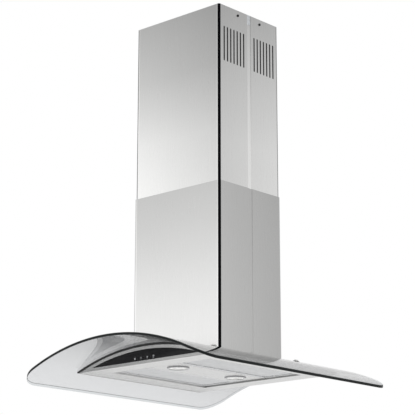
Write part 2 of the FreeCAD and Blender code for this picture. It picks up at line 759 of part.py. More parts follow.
def glass_canopy():
    body = new_body("glass_sheet")
    half = s.glass_width / 2
    band = [(half, arch(s.glass_radius, half), s.glass_radius), (-half, arch(s.glass_radius, half)),
            (-half, arch(glass_under, half), -glass_under), (half, arch(glass_under, half))]
    pad(body, sketch_on(body, "XZ_Plane", s.glass_depth / 2, [band]), s.glass_depth)
    low = arch(glass_under, half) - s.cut_margin
    tall = s.glass_radius + s.cut_margin * 2
    plan = rounded(half, s.glass_depth / 2, s.glass_corner)
    outside = centred(half + s.cut_margin, s.glass_depth / 2 + s.cut_margin)
    pocket(body, sketch_on(body, "XY_Plane", low, [outside, plan]), tall)
    opening = centred(s.box_half_x + s.glass_cut_gap, s.box_half_y + s.glass_cut_gap)
    pocket(body, sketch_on(body, "XY_Plane", low, [opening]), tall)
    keep("glass_canopy", cut(body, group(fixings(canopy_hole))))


def glass_seal():
    """A strip on the body's front and rear edge, with a lip that hangs over the fascia."""
    end = body_tip - s.seal_end
    top = [(end, arch(glass_under, end), glass_under), (-end, arch(glass_under, end))]
    band = top + [(-end, arch(seat_radius, end), -seat_radius), (end, arch(seat_radius, end))]
    lip_radius = seat_radius - s.seal_lip
    lip_tip = root(lip_radius * lip_radius - arch_drop * arch_drop)
    low = level(0)
    lip = top + [(-end, low), (-lip_tip, low, -lip_radius), (lip_tip, low), (end, low)]
    strips = []
    for side in SIDES:
        body = new_body("seal_strip")
        y = span(side, body_front - s.seal_width, body_front)[1]
        pad(body, sketch_on(body, "XZ_Plane", y, [band]), s.seal_width)
        y = span(side, body_front, body_front + s.seal_lip_thickness)[1]
        pad(body, sketch_on(body, "XZ_Plane", y, [lip]), s.seal_lip_thickness)
        strips.append(body)
    keep("glass_seal", group(strips))


# ---------------------------------------------------------------- body

def top_shell():
    body = new_body("top_shell")
    inner_tip = root(shell_inner * shell_inner - arch_drop * arch_drop)
    band = [(body_tip, level(0), seat_radius), (-body_tip, level(0)),
            (-inner_tip, level(0), -shell_inner), (inner_tip, level(0))]
    depth = body_front - s.fascia_sheet
    pad(body, sketch_on(body, "XZ_Plane", depth, [band]), depth * 2)
    tall = s.glass_crest + s.cut_margin
    opening = centred(s.box_half_x - s.box_sheet, s.box_half_y - s.box_sheet)
    pocket(body, sketch_on(body, "XY_Plane", level(0), [opening]), tall)
    holes = [(s.cable_x, s.cable_y * side, s.cable_hole) for side in SIDES]
    pocket(body, sketch_on(body, "XY_Plane", level(0), circles=holes), tall)
    keep("top_shell", body)


def front_fascia():
    body = new_body("front_fascia")
    back = -(body_front - s.fascia_sheet)
    pad(body, sketch_on(body, "XZ_Plane", back, [segment(seat_radius, ZERO)]), s.fascia_sheet)
    window = segment(panel_radius + s.panel_gap, s.panel_floor - s.panel_gap)
    pocket(body, sketch_on(body, "XZ_Plane", back + s.cut_margin, [window]), s.cut_margin * 2)
    keep("front_fascia", body)


def rear_fascia():
    body = new_body("rear_fascia")
    pad(body, sketch_on(body, "XZ_Plane", body_front, [segment(seat_radius, ZERO)]), s.fascia_sheet)
    keep("rear_fascia", body)


def bottom_pan():
    body = new_body("bottom_pan")
    rise = arch_drop + s.pan_sheet
    half_x = root(shell_inner * shell_inner - rise * rise) - s.pan_gap
    half_y = body_front - s.fascia_sheet - s.pan_gap
    recess = centred(s.recess_half_x + s.pan_sheet, s.recess_half_y + s.pan_sheet)
    pad(body, sketch_on(body, "XY_Plane", level(0), [centred(half_x, half_y), recess]), s.pan_sheet)
    keep("bottom_pan", body)


def recess_frame():
    """Strips welded round the filter recess: upright walls, and a ledge that the filters end under."""
    wall_x, wall_y = s.recess_half_x + s.pan_sheet, s.recess_half_y + s.pan_sheet
    ledge_x, ledge_y = s.recess_half_x - s.recess_ledge, s.recess_half_y - s.recess_ledge
    floor, low, high = level(0), level(ledge_under), level(s.recess_depth)
    strips = []
    for side in SIDES:
        strips.append(box(-wall_x, wall_x, *span(side, s.recess_half_y, wall_y), floor, low))
        strips.append(box(-wall_x, wall_x, *span(side, ledge_y, wall_y), low, high))
        strips.append(box(*span(side, ledge_x, wall_x), -ledge_y, ledge_y, low, high))
        near, far = span(side, s.recess_half_x, wall_x)
        wall = box(near, far, -s.recess_half_y, s.recess_half_y, floor, low)
        bore = rod(s.hinge_rod + s.hinge_gap, far - near, near, hinge_y, level(hinge_level), ALONG_X)
        strips.append(cut(wall, bore))
    keep("recess_frame", group(strips))


def lamp_strip():
    body = new_body("lamp_strip")
    half, thick = s.strip_half, s.strip_sheet
    low, high = level(s.strip_level), level(ledge_under)
    channel = [(-half, low), (half, low), (half, high), (half - thick, high), (half - thick, low + thick),
               (-half + thick, low + thick), (-half + thick, high), (-half, high)]
    end = s.recess_half_y - s.strip_end_gap
    pad(body, sketch_on(body, "XZ_Plane", end, [channel]), end * 2)
    lamps = [(ZERO, s.lamp_y * side, s.lamp_can + s.lamp_hole_gap) for side in SIDES]
    pocket(body, sketch_on(body, "XY_Plane", low - s.cut_margin, circles=lamps), thick + s.cut_margin * 2)
    hole = [(hinge_y, level(hinge_level), s.hinge_rod + s.hinge_gap)]
    reach = half + s.cut_margin
    pocket(body, sketch_on(body, "YZ_Plane", -reach, circles=hole), reach * 2)
    keep("lamp_strip", body)


# ---------------------------------------------------------------- lamps

def lamp_housing(label, y):
    body = new_body(label)
    outer, inner = s.lamp_can, s.lamp_can - s.lamp_wall
    lip = inner - s.lamp_lip_width
    top, roof = level(lamp_top), level(lamp_top - s.lamp_wall)
    seat, low = level(s.strip_level), level(s.strip_level - s.lamp_drop)
    profile = [(ZERO, top), (ZERO, roof), (inner, roof), (inner, low + s.lamp_lip), (lip, low + s.lamp_lip),
               (lip, low), (s.lamp_bezel, low), (s.lamp_bezel, seat), (outer, seat), (outer, top)]
    revolve(body, sketch_on(body, "XZ_Plane", y, [profile]))
    keep(label, body)


def lamp_lens(label, y):
    low = level(s.strip_level - s.lamp_drop + s.lamp_lip)
    keep(label, rod(s.lamp_can - s.lamp_wall - s.lens_gap, s.lens_thickness, ZERO, y, low))


def led_boards():
    low = level(lamp_top - s.lamp_wall - s.board_thickness)
    keep("led_boards", group([rod(s.led_radius, s.board_thickness, ZERO, s.lamp_y * side, low)
                              for side in SIDES]))


def led_driver():
    low = s.strip_level + s.strip_sheet
    keep("led_driver", box(-s.driver_width / 2, s.driver_width / 2, -s.driver_length / 2,
                           s.driver_length / 2, level(low), level(low + s.driver_height)))


def lamp_leads():
    start, end = s.driver_length / 2, s.lamp_y - s.lamp_can
    return [rod(s.cable_radius, end - start, ZERO, span(side, start, end)[0], level(s.cable_run), ALONG_Y)
            for side in SIDES]


# ---------------------------------------------------------------- filters

def filter_frame(label, side):
    body = new_body(label)
    low, thick = level(frame_low), s.filter_thickness
    x_low, x_high = span(side, filter_in, filter_out)
    outer = rectangle(x_low, x_high, -filter_front, hinge_y)
    inner = rectangle(x_low + s.filter_rail, x_high - s.filter_rail,
                      -filter_front + s.filter_rail, hinge_y - s.filter_rail)
    pad(body, sketch_on(body, "XY_Plane", low, [outer, inner]), thick)
    barrel = [(hinge_y, level(hinge_level), thick / 2)]
    pad(body, sketch_on(body, "YZ_Plane", x_low, circles=barrel), x_high - x_low)
    bore = [(hinge_y, level(hinge_level), s.hinge_rod + s.hinge_gap)]
    pocket(body, sketch_on(body, "YZ_Plane", x_low - s.cut_margin, circles=bore),
           x_high - x_low + s.cut_margin * 2)
    x, gap = s.latch_x * side, s.latch_gap
    front = -filter_front + s.latch_front_wall
    well = rectangle(x - s.latch_half - gap, x + s.latch_half + gap,
                     front - gap, front + s.latch_length + s.latch_travel + gap)
    pocket(body, sketch_on(body, "XY_Plane", low, [well]), s.latch_rise + gap)
    slot = rectangle(x - s.nose_half - gap, x + s.nose_half + gap,
                     low + s.nose_low - gap, low + s.nose_high + gap)
    pocket(body, sketch_on(body, "XZ_Plane", front, [slot]), s.latch_front_wall + s.cut_margin)
    keep(label, body)


def filter_mesh(label, side):
    x_low, x_high = span(side, filter_in + s.filter_rail, filter_out - s.filter_rail)
    gap = s.filter_mesh_gap
    y_low, y_high = -filter_front + s.filter_rail, hinge_y - s.filter_rail
    low = level(frame_low + (s.filter_thickness - s.filter_mesh) / 2)
    keep(label, box(x_low + gap, x_high - gap, y_low + gap, y_high - gap, low, low + s.filter_mesh))


def filter_latch(label, side):
    x = s.latch_x * side
    low = level(frame_low)
    front = -filter_front + s.latch_front_wall
    block = box(x - s.latch_half, x + s.latch_half, front, front + s.latch_length,
                low - s.latch_proud, low + s.latch_rise)
    nose = box(x - s.nose_half, x + s.nose_half, -filter_front - s.nose_reach, front,
               low + s.nose_low, low + s.nose_high)
    keep(label, joined(block, nose))


def filter_keeper(label, side):
    """Spring leaf on the recess's front wall, with a hook under the latch's nose."""
    x = s.latch_x * side
    wall = -s.recess_half_y
    hook_top = level(frame_low + s.nose_low - s.keeper_hook_gap)
    leaf = box(x - s.keeper_half, x + s.keeper_half, wall, wall + s.keeper_sheet,
               level(s.pan_sheet), level(ledge_under - s.keeper_top_gap))
    hook = box(x - s.keeper_half, x + s.keeper_half, wall, -filter_front - s.keeper_hook_gap,
               hook_top - s.keeper_sheet, hook_top)
    keep(label, joined(leaf, hook))


def filter_hinge_rod():
    end = s.recess_half_x + s.pan_sheet + s.hinge_proud
    keep("filter_hinge_rod", rod(s.hinge_rod, end * 2, -end, hinge_y, level(hinge_level), ALONG_X))


# ---------------------------------------------------------------- controls

def key_place(index):
    """x of a key; the row of keys has its middle at x = 0."""
    return s.key_pitch * (index - (len(KEYS) - 1) / 2)


def key_outline(index, grow):
    x, z = key_place(index), level(s.key_height)
    return rectangle(x - s.key_width / 2 - grow, x + s.key_width / 2 + grow,
                     z - s.key_rise / 2 - grow, z + s.key_rise / 2 + grow)


def control_panel():
    body = new_body("control_panel")
    face = [segment(panel_radius, s.panel_floor)]
    pad(body, sketch_on(body, "XZ_Plane", -panel_back, face), s.panel_thickness)
    for index in range(len(KEYS)):
        hole = [key_outline(index, s.key_gap)]
        pocket(body, sketch_on(body, "XZ_Plane", -panel_back + s.cut_margin, hole),
               s.panel_thickness + s.cut_margin * 2)
    keep("control_panel", body)


def key(label, index):
    body = new_body(label)
    rim_back = rim_front - s.key_rim_thickness
    pad(body, sketch_on(body, "XZ_Plane", -rim_front, [key_outline(index, ZERO)]),
        panel_front + s.key_proud - rim_front)
    pad(body, sketch_on(body, "XZ_Plane", -rim_back, [key_outline(index, s.key_rim)]), s.key_rim_thickness)
    stem = [(key_place(index), level(s.key_height), s.key_stem)]
    pad(body, sketch_on(body, "XZ_Plane", -stem_end, circles=stem), s.key_stem_length)
    keep(label, body)


def tact_switches():
    switches = []
    for index in range(len(KEYS)):
        x, z, half = key_place(index), level(s.key_height), s.switch_width / 2
        block = box(x - half, x + half, -(board_front + s.switch_body), -board_front, z - half, z + half)
        plunger = rod(s.switch_plunger, s.switch_reach, x, -switch_front, z, ALONG_Y)
        switches.append(joined(block, plunger))
    keep("tact_switches", group(switches))


def control_board():
    wall = s.housing_wall
    floor = level(s.housing_floor + wall)
    keep("control_board", box(-s.housing_half + wall, s.housing_half - wall, -board_front,
                              -board_front + s.board_thickness, floor, floor + s.housing_rise - wall * 2))


def control_housing():
    body = new_body("control_housing")
    low, high = level(s.housing_floor), level(s.housing_floor + s.housing_rise)
    wall, deep = s.housing_wall, panel_back - housing_back
    outer = rectangle(-s.housing_half, s.housing_half, low, high)
    inner = rectangle(-s.housing_half + wall, s.housing_half - wall, low + wall, high - wall)
    pad(body, sketch_on(body, "XZ_Plane", -housing_back, [outer]), deep)
    pocket(body, sketch_on(body, "XZ_Plane", -housing_back - wall, [inner]), deep)
    keep("control_housing", body)


# ---------------------------------------------------------------- blower

def blower_box():
    body = new_body("blower_box")
    low = arch(seat_radius, s.box_half_x)
    top = level(s.box_top)
    outer = centred(s.box_half_x, s.box_half_y)
    inner = centred(s.box_half_x - s.box_sheet, s.box_half_y - s.box_sheet)
    pad(body, sketch_on(body, "XY_Plane", low, [outer]), top - low)
    pocket(body, sketch_on(body, "XY_Plane", low, [inner]), top - low - s.box_sheet)
    reach = s.box_half_y + s.cut_margin
    below = [under_arch(seat_radius, s.box_half_x + s.cut_margin)]
    pocket(body, sketch_on(body, "XZ_Plane", reach, below), reach * 2)
    outlet = [(ZERO, ZERO, s.collar_radius - s.collar_wall)]
    pocket(body, sketch_on(body, "XY_Plane", top - s.cut_margin, circles=outlet), s.cut_margin * 2)
    end = s.cover_half_y - s.cover_sheet - s.cover_foot
    for side in SIDES:
        tongue = rectangle(-s.lug_half, s.lug_half, *span(side, s.box_half_y - s.box_sheet, end))
        pad(body, sketch_on(body, "XY_Plane", level(s.lug_level), [tongue]), s.lug_sheet)
        flange = rectangle(-s.lug_half, s.lug_half, *span(side, end - s.lug_sheet, end))
        pad(body, sketch_on(body, "XY_Plane", level(s.lug_level), [flange]), s.lug_flange)
    keep("blower_box", body)


def inlet_plate():
    body = new_body("inlet_plate")
    gap = s.box_sheet + s.bracket_gap
    low = level(s.inlet_level)
    plate = [centred(s.box_half_x - gap, s.box_half_y - gap)]
    pad(body, sketch_on(body, "XY_Plane", low, plate), s.inlet_sheet)
    throat = [(ZERO, ZERO, s.inlet_radius + s.inlet_sheet)]
    pad(body, sketch_on(body, "XY_Plane", low, circles=throat), s.inlet_sheet + s.inlet_rise)
    hole = [(ZERO, ZERO, s.inlet_radius)]
    pocket(body, sketch_on(body, "XY_Plane", low - s.cut_margin, circles=hole),
           s.inlet_rise + s.cut_margin * 2)
    keep("inlet_plate", body)


def impeller():
    """Back disc with its hub, inlet ring, and the blades between them."""
    low = level(s.fan_level)
    high = low + s.fan_height
    thick, hub = s.fan_disc, s.fan_hub
    bore = s.shaft_radius + s.shaft_grip
    hub_low, hub_high = high - s.fan_hub_height / 2, high + s.fan_hub_height / 2
    disc = new_body("impeller_disc")
    revolve(disc, sketch_on(disc, "XZ_Plane", ZERO, [[
        (bore, hub_low), (hub, hub_low), (hub, high - thick), (s.fan_radius, high - thick),
        (s.fan_radius, high), (hub, high), (hub, hub_high), (bore, hub_high)]]))
    ring = new_body("impeller_ring")
    revolve(ring, sketch_on(ring, "XZ_Plane", ZERO, [rectangle(s.fan_eye, s.fan_radius, low, low + thick)]))
    half = s.blade_thickness / 2
    tip = s.blade_sweep + half
    near, far = s.fan_radius - s.fan_depth, root(s.fan_radius * s.fan_radius - tip * tip)
    outline = [(near, -half), (far, s.blade_sweep - half), (far, tip), (near, half)]
    blades = new_body("impeller_blades")
    blade = pad(blades, sketch_on(blades, "XY_Plane", low + thick, [outline]), s.fan_height - thick * 2)
    pattern = blades.newObject("PartDesign::PolarPattern", "blades")
    pattern.Originals = [blade]
    pattern.Axis = (origin_plane(blades, "Z_Axis"), [""])
    pattern.Angle = 360
    pattern.setExpression("Occurrences", s.blade_count.formula)
    blades.Tip = pattern
    keep("impeller", group([disc, ring, blades]))


def motor():
    body = new_body("motor")
    bore = s.shaft_radius + s.shaft_gap
    low, high = level(s.motor_level), level(s.motor_level + s.motor_height)
    slope, boss, can = s.motor_shoulder, s.motor_boss, s.motor_radius
    profile = [(bore, low), (boss, low), (can, low + slope), (can, high - slope), (boss, high),
               (ZERO, high), (ZERO, high - slope / 2), (bore, high - slope / 2)]
    revolve(body, sketch_on(body, "XZ_Plane", ZERO, [profile]))
    keep("motor", body)


def motor_shaft():
    low = level(s.fan_level + s.fan_height - s.fan_hub_height / 2)
    high = level(s.motor_level + s.motor_height - s.motor_shoulder)
    keep("motor_shaft", rod(s.shaft_radius, high - low, ZERO, ZERO, low))


def motor_bracket():
    body = new_body("motor_bracket")
    end = s.box_half_x - s.box_sheet - s.bracket_gap
    low = level(s.motor_level + s.motor_height)
    high, foot = low + s.bracket_sheet, low - s.bracket_drop
    inner = end - s.bracket_sheet
    profile = [(-end, foot), (-inner, foot), (-inner, low), (inner, low), (inner, foot), (end, foot),
               (end, high), (-end, high)]
    pad(body, sketch_on(body, "XZ_Plane", s.bracket_half_y, [profile]), s.bracket_half_y * 2)
    keep("motor_bracket", body)


def frame_plate():
    """A main sheet under the collar, and strips beside it that leave a square way for the mains lead."""
    half_x, half_y = lower_face_x - s.post_sheet, lower_face_y - s.post_sheet
    low, high = level(s.box_top), level(s.box_top) + s.frame_sheet
    body = new_body("main_sheet")
    outline = [(-half_x, -half_y), (lead_near, -half_y), (lead_near, half_y), (-half_x, half_y)]
    pad(body, sketch_on(body, "XY_Plane", low, [outline]), s.frame_sheet)
    hole = [(ZERO, ZERO, s.collar_radius - s.collar_wall)]
    pocket(body, sketch_on(body, "XY_Plane", low - s.cut_margin, circles=hole),
           s.frame_sheet + s.cut_margin * 2)
    strips = [box(lead_near, lead_far, *span(side, s.lead_hole, half_y), low, high) for side in SIDES]
    strips.append(box(lead_far, half_x, -half_y, half_y, low, high))
    keep("frame_plate", group([body] + strips))


def lower_posts():
    posts = []
    for a in SIDES:
        for b in SIDES:
            post = angle_post(a, b, lower_face_x, lower_face_y, s.lower_post_leg,
                              level(s.lower_post_foot), level(s.lower_post_top))
            low = span(b, lower_face_y - s.post_sheet * 2, lower_face_y + s.post_gap / 2)
            hole = rod(s.post_bolt_radius, low[1] - low[0], s.post_bolt_x * a, low[0],
                       level(s.post_bolt_level), ALONG_Y)
            posts.append(cut(post, hole))
    keep("lower_posts", group(posts))


def post_bolts():
    bolts = []
    inner = lower_face_y - s.post_sheet
    for a in SIDES:
        for b in SIDES:
            x, z = s.post_bolt_x * a, level(s.post_bolt_level)
            head = span(b, inner - s.post_bolt_head_height, inner)
            shank = span(b, inner, post_face_y)
            bolts.append(joined(
                hexagon(s.post_bolt_head, head[1] - head[0], x, head[0], z, ALONG_Y),
                rod(s.post_bolt_radius, shank[1] - shank[0], x, shank[0], z, ALONG_Y)))
    keep("post_bolts", group(bolts))


def outlet_collar():
    body = new_body("outlet_collar")
    outer, inner = s.collar_radius, s.collar_radius - s.collar_wall
    seat = inner - s.flap_seat
    low, high = level(collar_foot), level(collar_foot + s.collar_rise)
    brim = low + s.collar_wall
    seat_high = level(flap_z) - s.flap_sheet / 2 - s.flap_seat_gap
    seat_low = seat_high - s.flap_seat
    profile = [(inner, low), (outer + s.collar_flange, low), (outer + s.collar_flange, brim), (outer, brim),
               (outer, high), (inner, high), (inner, seat_high), (seat, seat_high), (inner, seat_low)]
    revolve(body, sketch_on(body, "XZ_Plane", ZERO, [profile]))
    pins = [(s.flap_offset * side, level(flap_z), s.flap_pin) for side in SIDES]
    reach = outer + s.cut_margin
    pocket(body, sketch_on(body, "YZ_Plane", -reach, circles=pins), reach * 2)
    keep("outlet_collar", body)


def damper_pins():
    length = root(s.collar_radius * s.collar_radius - s.flap_offset * s.flap_offset) - s.flap_pin_inset
    keep("damper_pins", group([rod(s.flap_pin, length * 2, -length, s.flap_offset * side,
                                   level(flap_z), ALONG_X) for side in SIDES]))


def damper_flap(label, side):
    body = new_body(label)
    reach = s.collar_radius - s.collar_wall - s.flap_edge_gap
    half = root(reach * reach - s.flap_offset * s.flap_offset)
    y, z = s.flap_offset * side, level(flap_z)
    leaf = [(-half, y), (half, y, reach)] if side > 0 else [(half, y), (-half, y, reach)]
    pad(body, sketch_on(body, "XY_Plane", z - s.flap_sheet / 2, [leaf]), s.flap_sheet)
    end = half - s.flap_end_gap
    pad(body, sketch_on(body, "YZ_Plane", -end, circles=[(y, z, s.flap_barrel)]), end * 2)
    bore = [(y, z, s.flap_pin + s.flap_bore_gap)]
    pocket(body, sketch_on(body, "YZ_Plane", -reach, circles=bore), reach * 2)
    keep(label, body)


# ---------------------------------------------------------------- electrics

def power_box():
    body = new_body("power_box")
    wall = s.power_wall
    low, high = level(s.power_foot), level(s.power_foot + s.power_height)
    outer = rectangle(-s.power_half, s.power_half, low, high)
    inner = rectangle(-s.power_half + wall, s.power_half - wall, low + wall, high - wall)
    pad(body, sketch_on(body, "YZ_Plane", s.box_half_x, [outer]), s.power_width)
    pocket(body, sketch_on(body, "YZ_Plane", s.box_half_x, [inner]), s.power_width - wall)
    entry = [(lead_x, ZERO, s.gland_bore)]
    pocket(body, sketch_on(body, "XY_Plane", high - s.cut_margin, circles=entry), s.cut_margin * 2)
    exits = [(s.cable_x, s.cable_y * side, s.cable_radius) for side in SIDES]
    pocket(body, sketch_on(body, "XY_Plane", low - s.cut_margin, circles=exits), s.cut_margin + wall)
    keep("power_box", body)


def cable_gland():
    z = level(s.power_foot + s.power_height)
    nut = hexagon(s.gland_radius, s.gland_height / 2, lead_x, ZERO, z)
    dome = rod(s.gland_dome, s.gland_height, lead_x, ZERO, z)
    bore = rod(s.gland_bore, s.gland_height * 2, lead_x, ZERO, z - s.gland_height / 2)
    keep("cable_gland", cut(joined(nut, dome), bore))


def capacitor():
    x = -(s.box_half_x + s.clip_sheet + s.capacitor_radius)
    low = level(s.capacitor_level)
    keep("capacitor", rod(s.capacitor_radius, s.capacitor_height, x, ZERO, low))
    band_low = low + (s.capacitor_height - s.clip_height) / 2
    band = rod(s.capacitor_radius + s.clip_sheet, s.clip_height, x, ZERO, band_low)
    foot = box(-(s.box_half_x + s.clip_sheet), -s.box_half_x, -s.capacitor_radius, s.capacitor_radius,
               band_low, band_low + s.clip_height)
    bore = rod(s.capacitor_radius, s.capacitor_height, x, ZERO, low)
    keep("capacitor_clip", cut(joined(band, foot), bore))


def cable(points):
    """Round cable along straight runs with an arc at each corner."""
    corners = [Vector(*[where.value for where in point]) for point in points]
    bend, radius = s.cable_bend.value, s.cable_radius.value
    edges = []
    start = corners[0]
    for before, corner, after in zip(corners, corners[1:], corners[2:]):
        incoming, outgoing = (before - corner).normalize(), (after - corner).normalize()
        half_turn = incoming.getAngle(outgoing) / 2
        enter = corner + incoming * (bend / math.tan(half_turn))
        leave = corner + outgoing * (bend / math.tan(half_turn))
        bisector = (incoming + outgoing).normalize()
        middle = corner + bisector * (bend / math.sin(half_turn) - bend)
        edges.append(Part.LineSegment(start, enter).toShape())
        edges.append(Part.Arc(enter, middle, leave).toShape())
        start = leave
    edges.append(Part.LineSegment(start, corners[-1]).toShape())
    circle = Part.Circle(corners[0], corners[1] - corners[0], radius)
    feature = doc.addObject("Part::Feature", "cable")
    feature.Shape = Part.Wire(edges).makePipeShell([Part.Wire(circle.toShape())], True, False)
    return feature


def wiring():
    """Cables from the power box to the lamps and to the control board."""
    x, top = s.cable_x, level(s.power_foot + s.power_wall)
    y, run = s.cable_y, level(s.cable_run)
    to_driver = cable([(x, y, top), (x, y, run), (s.driver_width / 2, y, run)])
    y, run, turn = -s.cable_y, level(s.panel_run), s.panel_run_x
    to_panel = cable([(x, y, top), (x, y, run), (turn, y, run), (turn, -housing_back, run)])
    keep("wiring", group([to_driver, to_panel] + lamp_leads()))


# ---------------------------------------------------------------- the hood

def build():
    ceiling_plate()
    upper_posts()
    upper_cover("upper_cover_front", -1)
    upper_cover("upper_cover_rear", 1)
    cover_laps("upper_cover_laps", upper_half_x,
               level(s.seam_height - s.cover_overlap) + s.lap_margin, -s.flange_drop - s.lap_margin)
    cover_screws()
    lower_cover("lower_cover_front", -1)
    lower_cover("lower_cover_rear", 1)
    cover_laps("lower_cover_laps", s.cover_half_x,
               arch(s.glass_radius, s.cover_half_x - s.cover_sheet - s.lap_sheet) + s.lap_margin,
               level(s.seam_height) - s.lap_margin)
    lower_posts()
    post_bolts()
    frame_plate()
    blower_box()
    inlet_plate()
    impeller()
    motor()
    motor_shaft()
    motor_bracket()
    outlet_collar()
    damper_pins()
    damper_flap("damper_flap_front", -1)
    damper_flap("damper_flap_rear", 1)
    power_box()
    cable_gland()
    capacitor()
    glass_canopy()
    keep("glass_bolts", group(fixings(canopy_bolt)))
    keep("glass_washers", group(fixings(canopy_washer)))
    glass_seal()
    top_shell()
    front_fascia()
    rear_fascia()
    bottom_pan()
    recess_frame()
    lamp_strip()
    lamp_housing("lamp_housing_front", -s.lamp_y)
    lamp_housing("lamp_housing_rear", s.lamp_y)
    lamp_lens("lamp_lens_front", -s.lamp_y)
    lamp_lens("lamp_lens_rear", s.lamp_y)
    led_boards()
    led_driver()
    for side, hand in zip(SIDES, ("left", "right")):
        filter_frame(f"filter_frame_{hand}", side)
        filter_mesh(f"filter_mesh_{hand}", side)
        filter_latch(f"filter_latch_{hand}", side)
        filter_keeper(f"filter_keeper_{hand}", side)
    filter_hinge_rod()
    control_panel()
    for index, name in enumerate(KEYS):
        key(f"key_{name}", index)
    tact_switches()
    control_board()
    control_housing()
    wiring()
    doc.recompute()


def check():
    """Stops if anything failed to build."""
    failed = [thing.Label for thing in doc.Objects
              if "Invalid" in thing.State or "Error" in thing.State]
    if failed:
        raise RuntimeError("failed objects: " + ", ".join(failed))
    for label, thing in parts.items():
        shape = thing.Shape
        if shape.isNull() or not shape.isValid() or not shape.Solids:
            raise RuntimeError(f"{label} has no valid solid")


def write():
    os.makedirs("parts", exist_ok=True)
    for label, thing in parts.items():
        thing.Shape.exportStep(f"parts/{label}.step")
        print(f"{label}: {len(thing.Shape.Solids)} solids, {thing.Shape.Volume / 1000:.2f} cm3")
    print(len(parts), "nodes")


build()
check()
write()
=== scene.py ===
# %% [markdown]
# # A ceiling hood with a curved glass canopy
# The hood hangs over a cooking island. Its construction comes from CAD as one object per part, already at its real
# size and place. This file gives each part its finish, adds the pieces that CAD leaves plain, and lights the whole.
# The CAD objects stay where they are. A new piece sits on what carries it and moves with that body.

# %% Load the construction
import math

import bmesh
import bpy
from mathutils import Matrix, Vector


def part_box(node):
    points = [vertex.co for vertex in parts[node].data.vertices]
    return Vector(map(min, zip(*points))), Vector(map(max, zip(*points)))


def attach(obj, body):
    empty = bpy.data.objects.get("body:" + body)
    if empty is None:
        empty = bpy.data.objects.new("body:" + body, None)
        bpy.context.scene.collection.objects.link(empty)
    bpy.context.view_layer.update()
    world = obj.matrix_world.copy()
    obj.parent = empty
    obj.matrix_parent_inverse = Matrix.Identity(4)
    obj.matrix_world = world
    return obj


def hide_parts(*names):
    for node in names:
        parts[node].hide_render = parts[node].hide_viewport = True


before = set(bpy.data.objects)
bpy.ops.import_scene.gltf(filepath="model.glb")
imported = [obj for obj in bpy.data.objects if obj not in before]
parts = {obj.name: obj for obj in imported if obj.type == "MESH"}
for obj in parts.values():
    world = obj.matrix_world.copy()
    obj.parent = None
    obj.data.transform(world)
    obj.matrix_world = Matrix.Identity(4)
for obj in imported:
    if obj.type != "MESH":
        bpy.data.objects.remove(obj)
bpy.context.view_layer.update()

# %% [markdown]
# ## Small helpers for finishes
# Every finish is a node graph. A Principled shader alone gives one flat colour, so each finish feeds it with noise
# for grain, soft patches and unevenness. Short helpers keep those graphs readable: one starts a material, others add
# a node, do arithmetic on the values between nodes, or choose between two shaders.

# %% Helpers: material, node, wire, arithmetic
def new_finish(name, roughness, metallic=0.0):
    finish = bpy.data.materials.new(name)
    finish.use_nodes = True
    shader = finish.node_tree.nodes["Principled BSDF"]
    shader.inputs["Roughness"].default_value = roughness
    shader.inputs["Metallic"].default_value = metallic
    return finish, shader


def wire(finish, output, entry):
    finish.node_tree.links.new(output, entry)


def feed(finish, entry, value):
    """Gives an input a plain value, or the output of another node."""
    if isinstance(value, bpy.types.NodeSocket):
        wire(finish, value, entry)
    else:
        entry.default_value = value


def node(finish, kind, **settings):
    """Adds a node; a setting is a plain value or the output of another node."""
    made = finish.node_tree.nodes.new(kind)
    for name, value in settings.items():
        feed(finish, made.inputs[name.replace("_", " ")], value)
    return made


def maths(finish, operation, first, second=0.0):
    made = finish.node_tree.nodes.new("ShaderNodeMath")
    made.operation = operation
    for entry, value in zip(made.inputs, (first, second)):
        feed(finish, entry, value)
    return made.outputs["Value"]


def rescale(finish, value, low, high, new_low, new_high):
    made = node(finish, "ShaderNodeMapRange", Value=value)
    for name, number in (("From Min", low), ("From Max", high), ("To Min", new_low), ("To Max", new_high)):
        made.inputs[name].default_value = number
    return made.outputs["Result"]


def shaded(finish, colour, share):
    """A colour made darker or lighter by a share; each is a plain value or the output of another node."""
    made = finish.node_tree.nodes.new("ShaderNodeVectorMath")
    made.operation = "SCALE"
    for entry, value in ((made.inputs[0], colour), (made.inputs["Scale"], share)):
        feed(finish, entry, value)
    return made.outputs["Vector"]


def grey_ramp(finish, share, tones, blue=1.0):
    """A tone that follows (place, grey) pairs, places from 0 to 1; blue is its share of blue."""
    ramp = node(finish, "ShaderNodeValToRGB", Fac=share)
    stops = ramp.color_ramp.elements
    stops[0].position, stops[1].position = tones[0][0], tones[-1][0]
    for place, grey in tones[1:-1]:
        stops.new(place)
    for stop, (place, grey) in zip(stops, tones):
        stop.color = (grey, grey, grey * blue, 1.0)
    return ramp.outputs["Color"]


def choose(finish, share, first, second, output="Material Output"):
    """Ends the graph with the first shader where share is 0, and the second where it is 1."""
    choice = node(finish, "ShaderNodeMixShader", Fac=share)
    wire(finish, first, choice.inputs[1])
    wire(finish, second, choice.inputs[2])
    wire(finish, choice.outputs["Shader"], finish.node_tree.nodes[output].inputs["Surface"])


def dress(finish, *names):
    """Gives CAD parts their finish."""
    for name in names:
        parts[name].data.materials[0] = finish
    print(finish.name, "on", ", ".join(names))


# %% [markdown]
# ## Noise that follows the part
# Object coordinates are in metres and travel with the part, so the grain keeps its real scale and doesn't slide when
# the part moves. Stretching the coordinates along one axis turns round noise blobs into the long fine scratches of a
# brushed sheet.

# %% Helpers: speckle, scratches and bump
def speckle(finish, scale, detail=3.0, stretch=(1.0, 1.0, 1.0)):
    """Noise between 0 and 1; scale is in blobs per metre."""
    places = node(finish, "ShaderNodeTexCoord").outputs["Object"]
    drawn = node(finish, "ShaderNodeMapping", Vector=places, Scale=stretch).outputs["Vector"]
    return node(finish, "ShaderNodeTexNoise", Vector=drawn, Scale=scale, Detail=detail).outputs["Fac"]


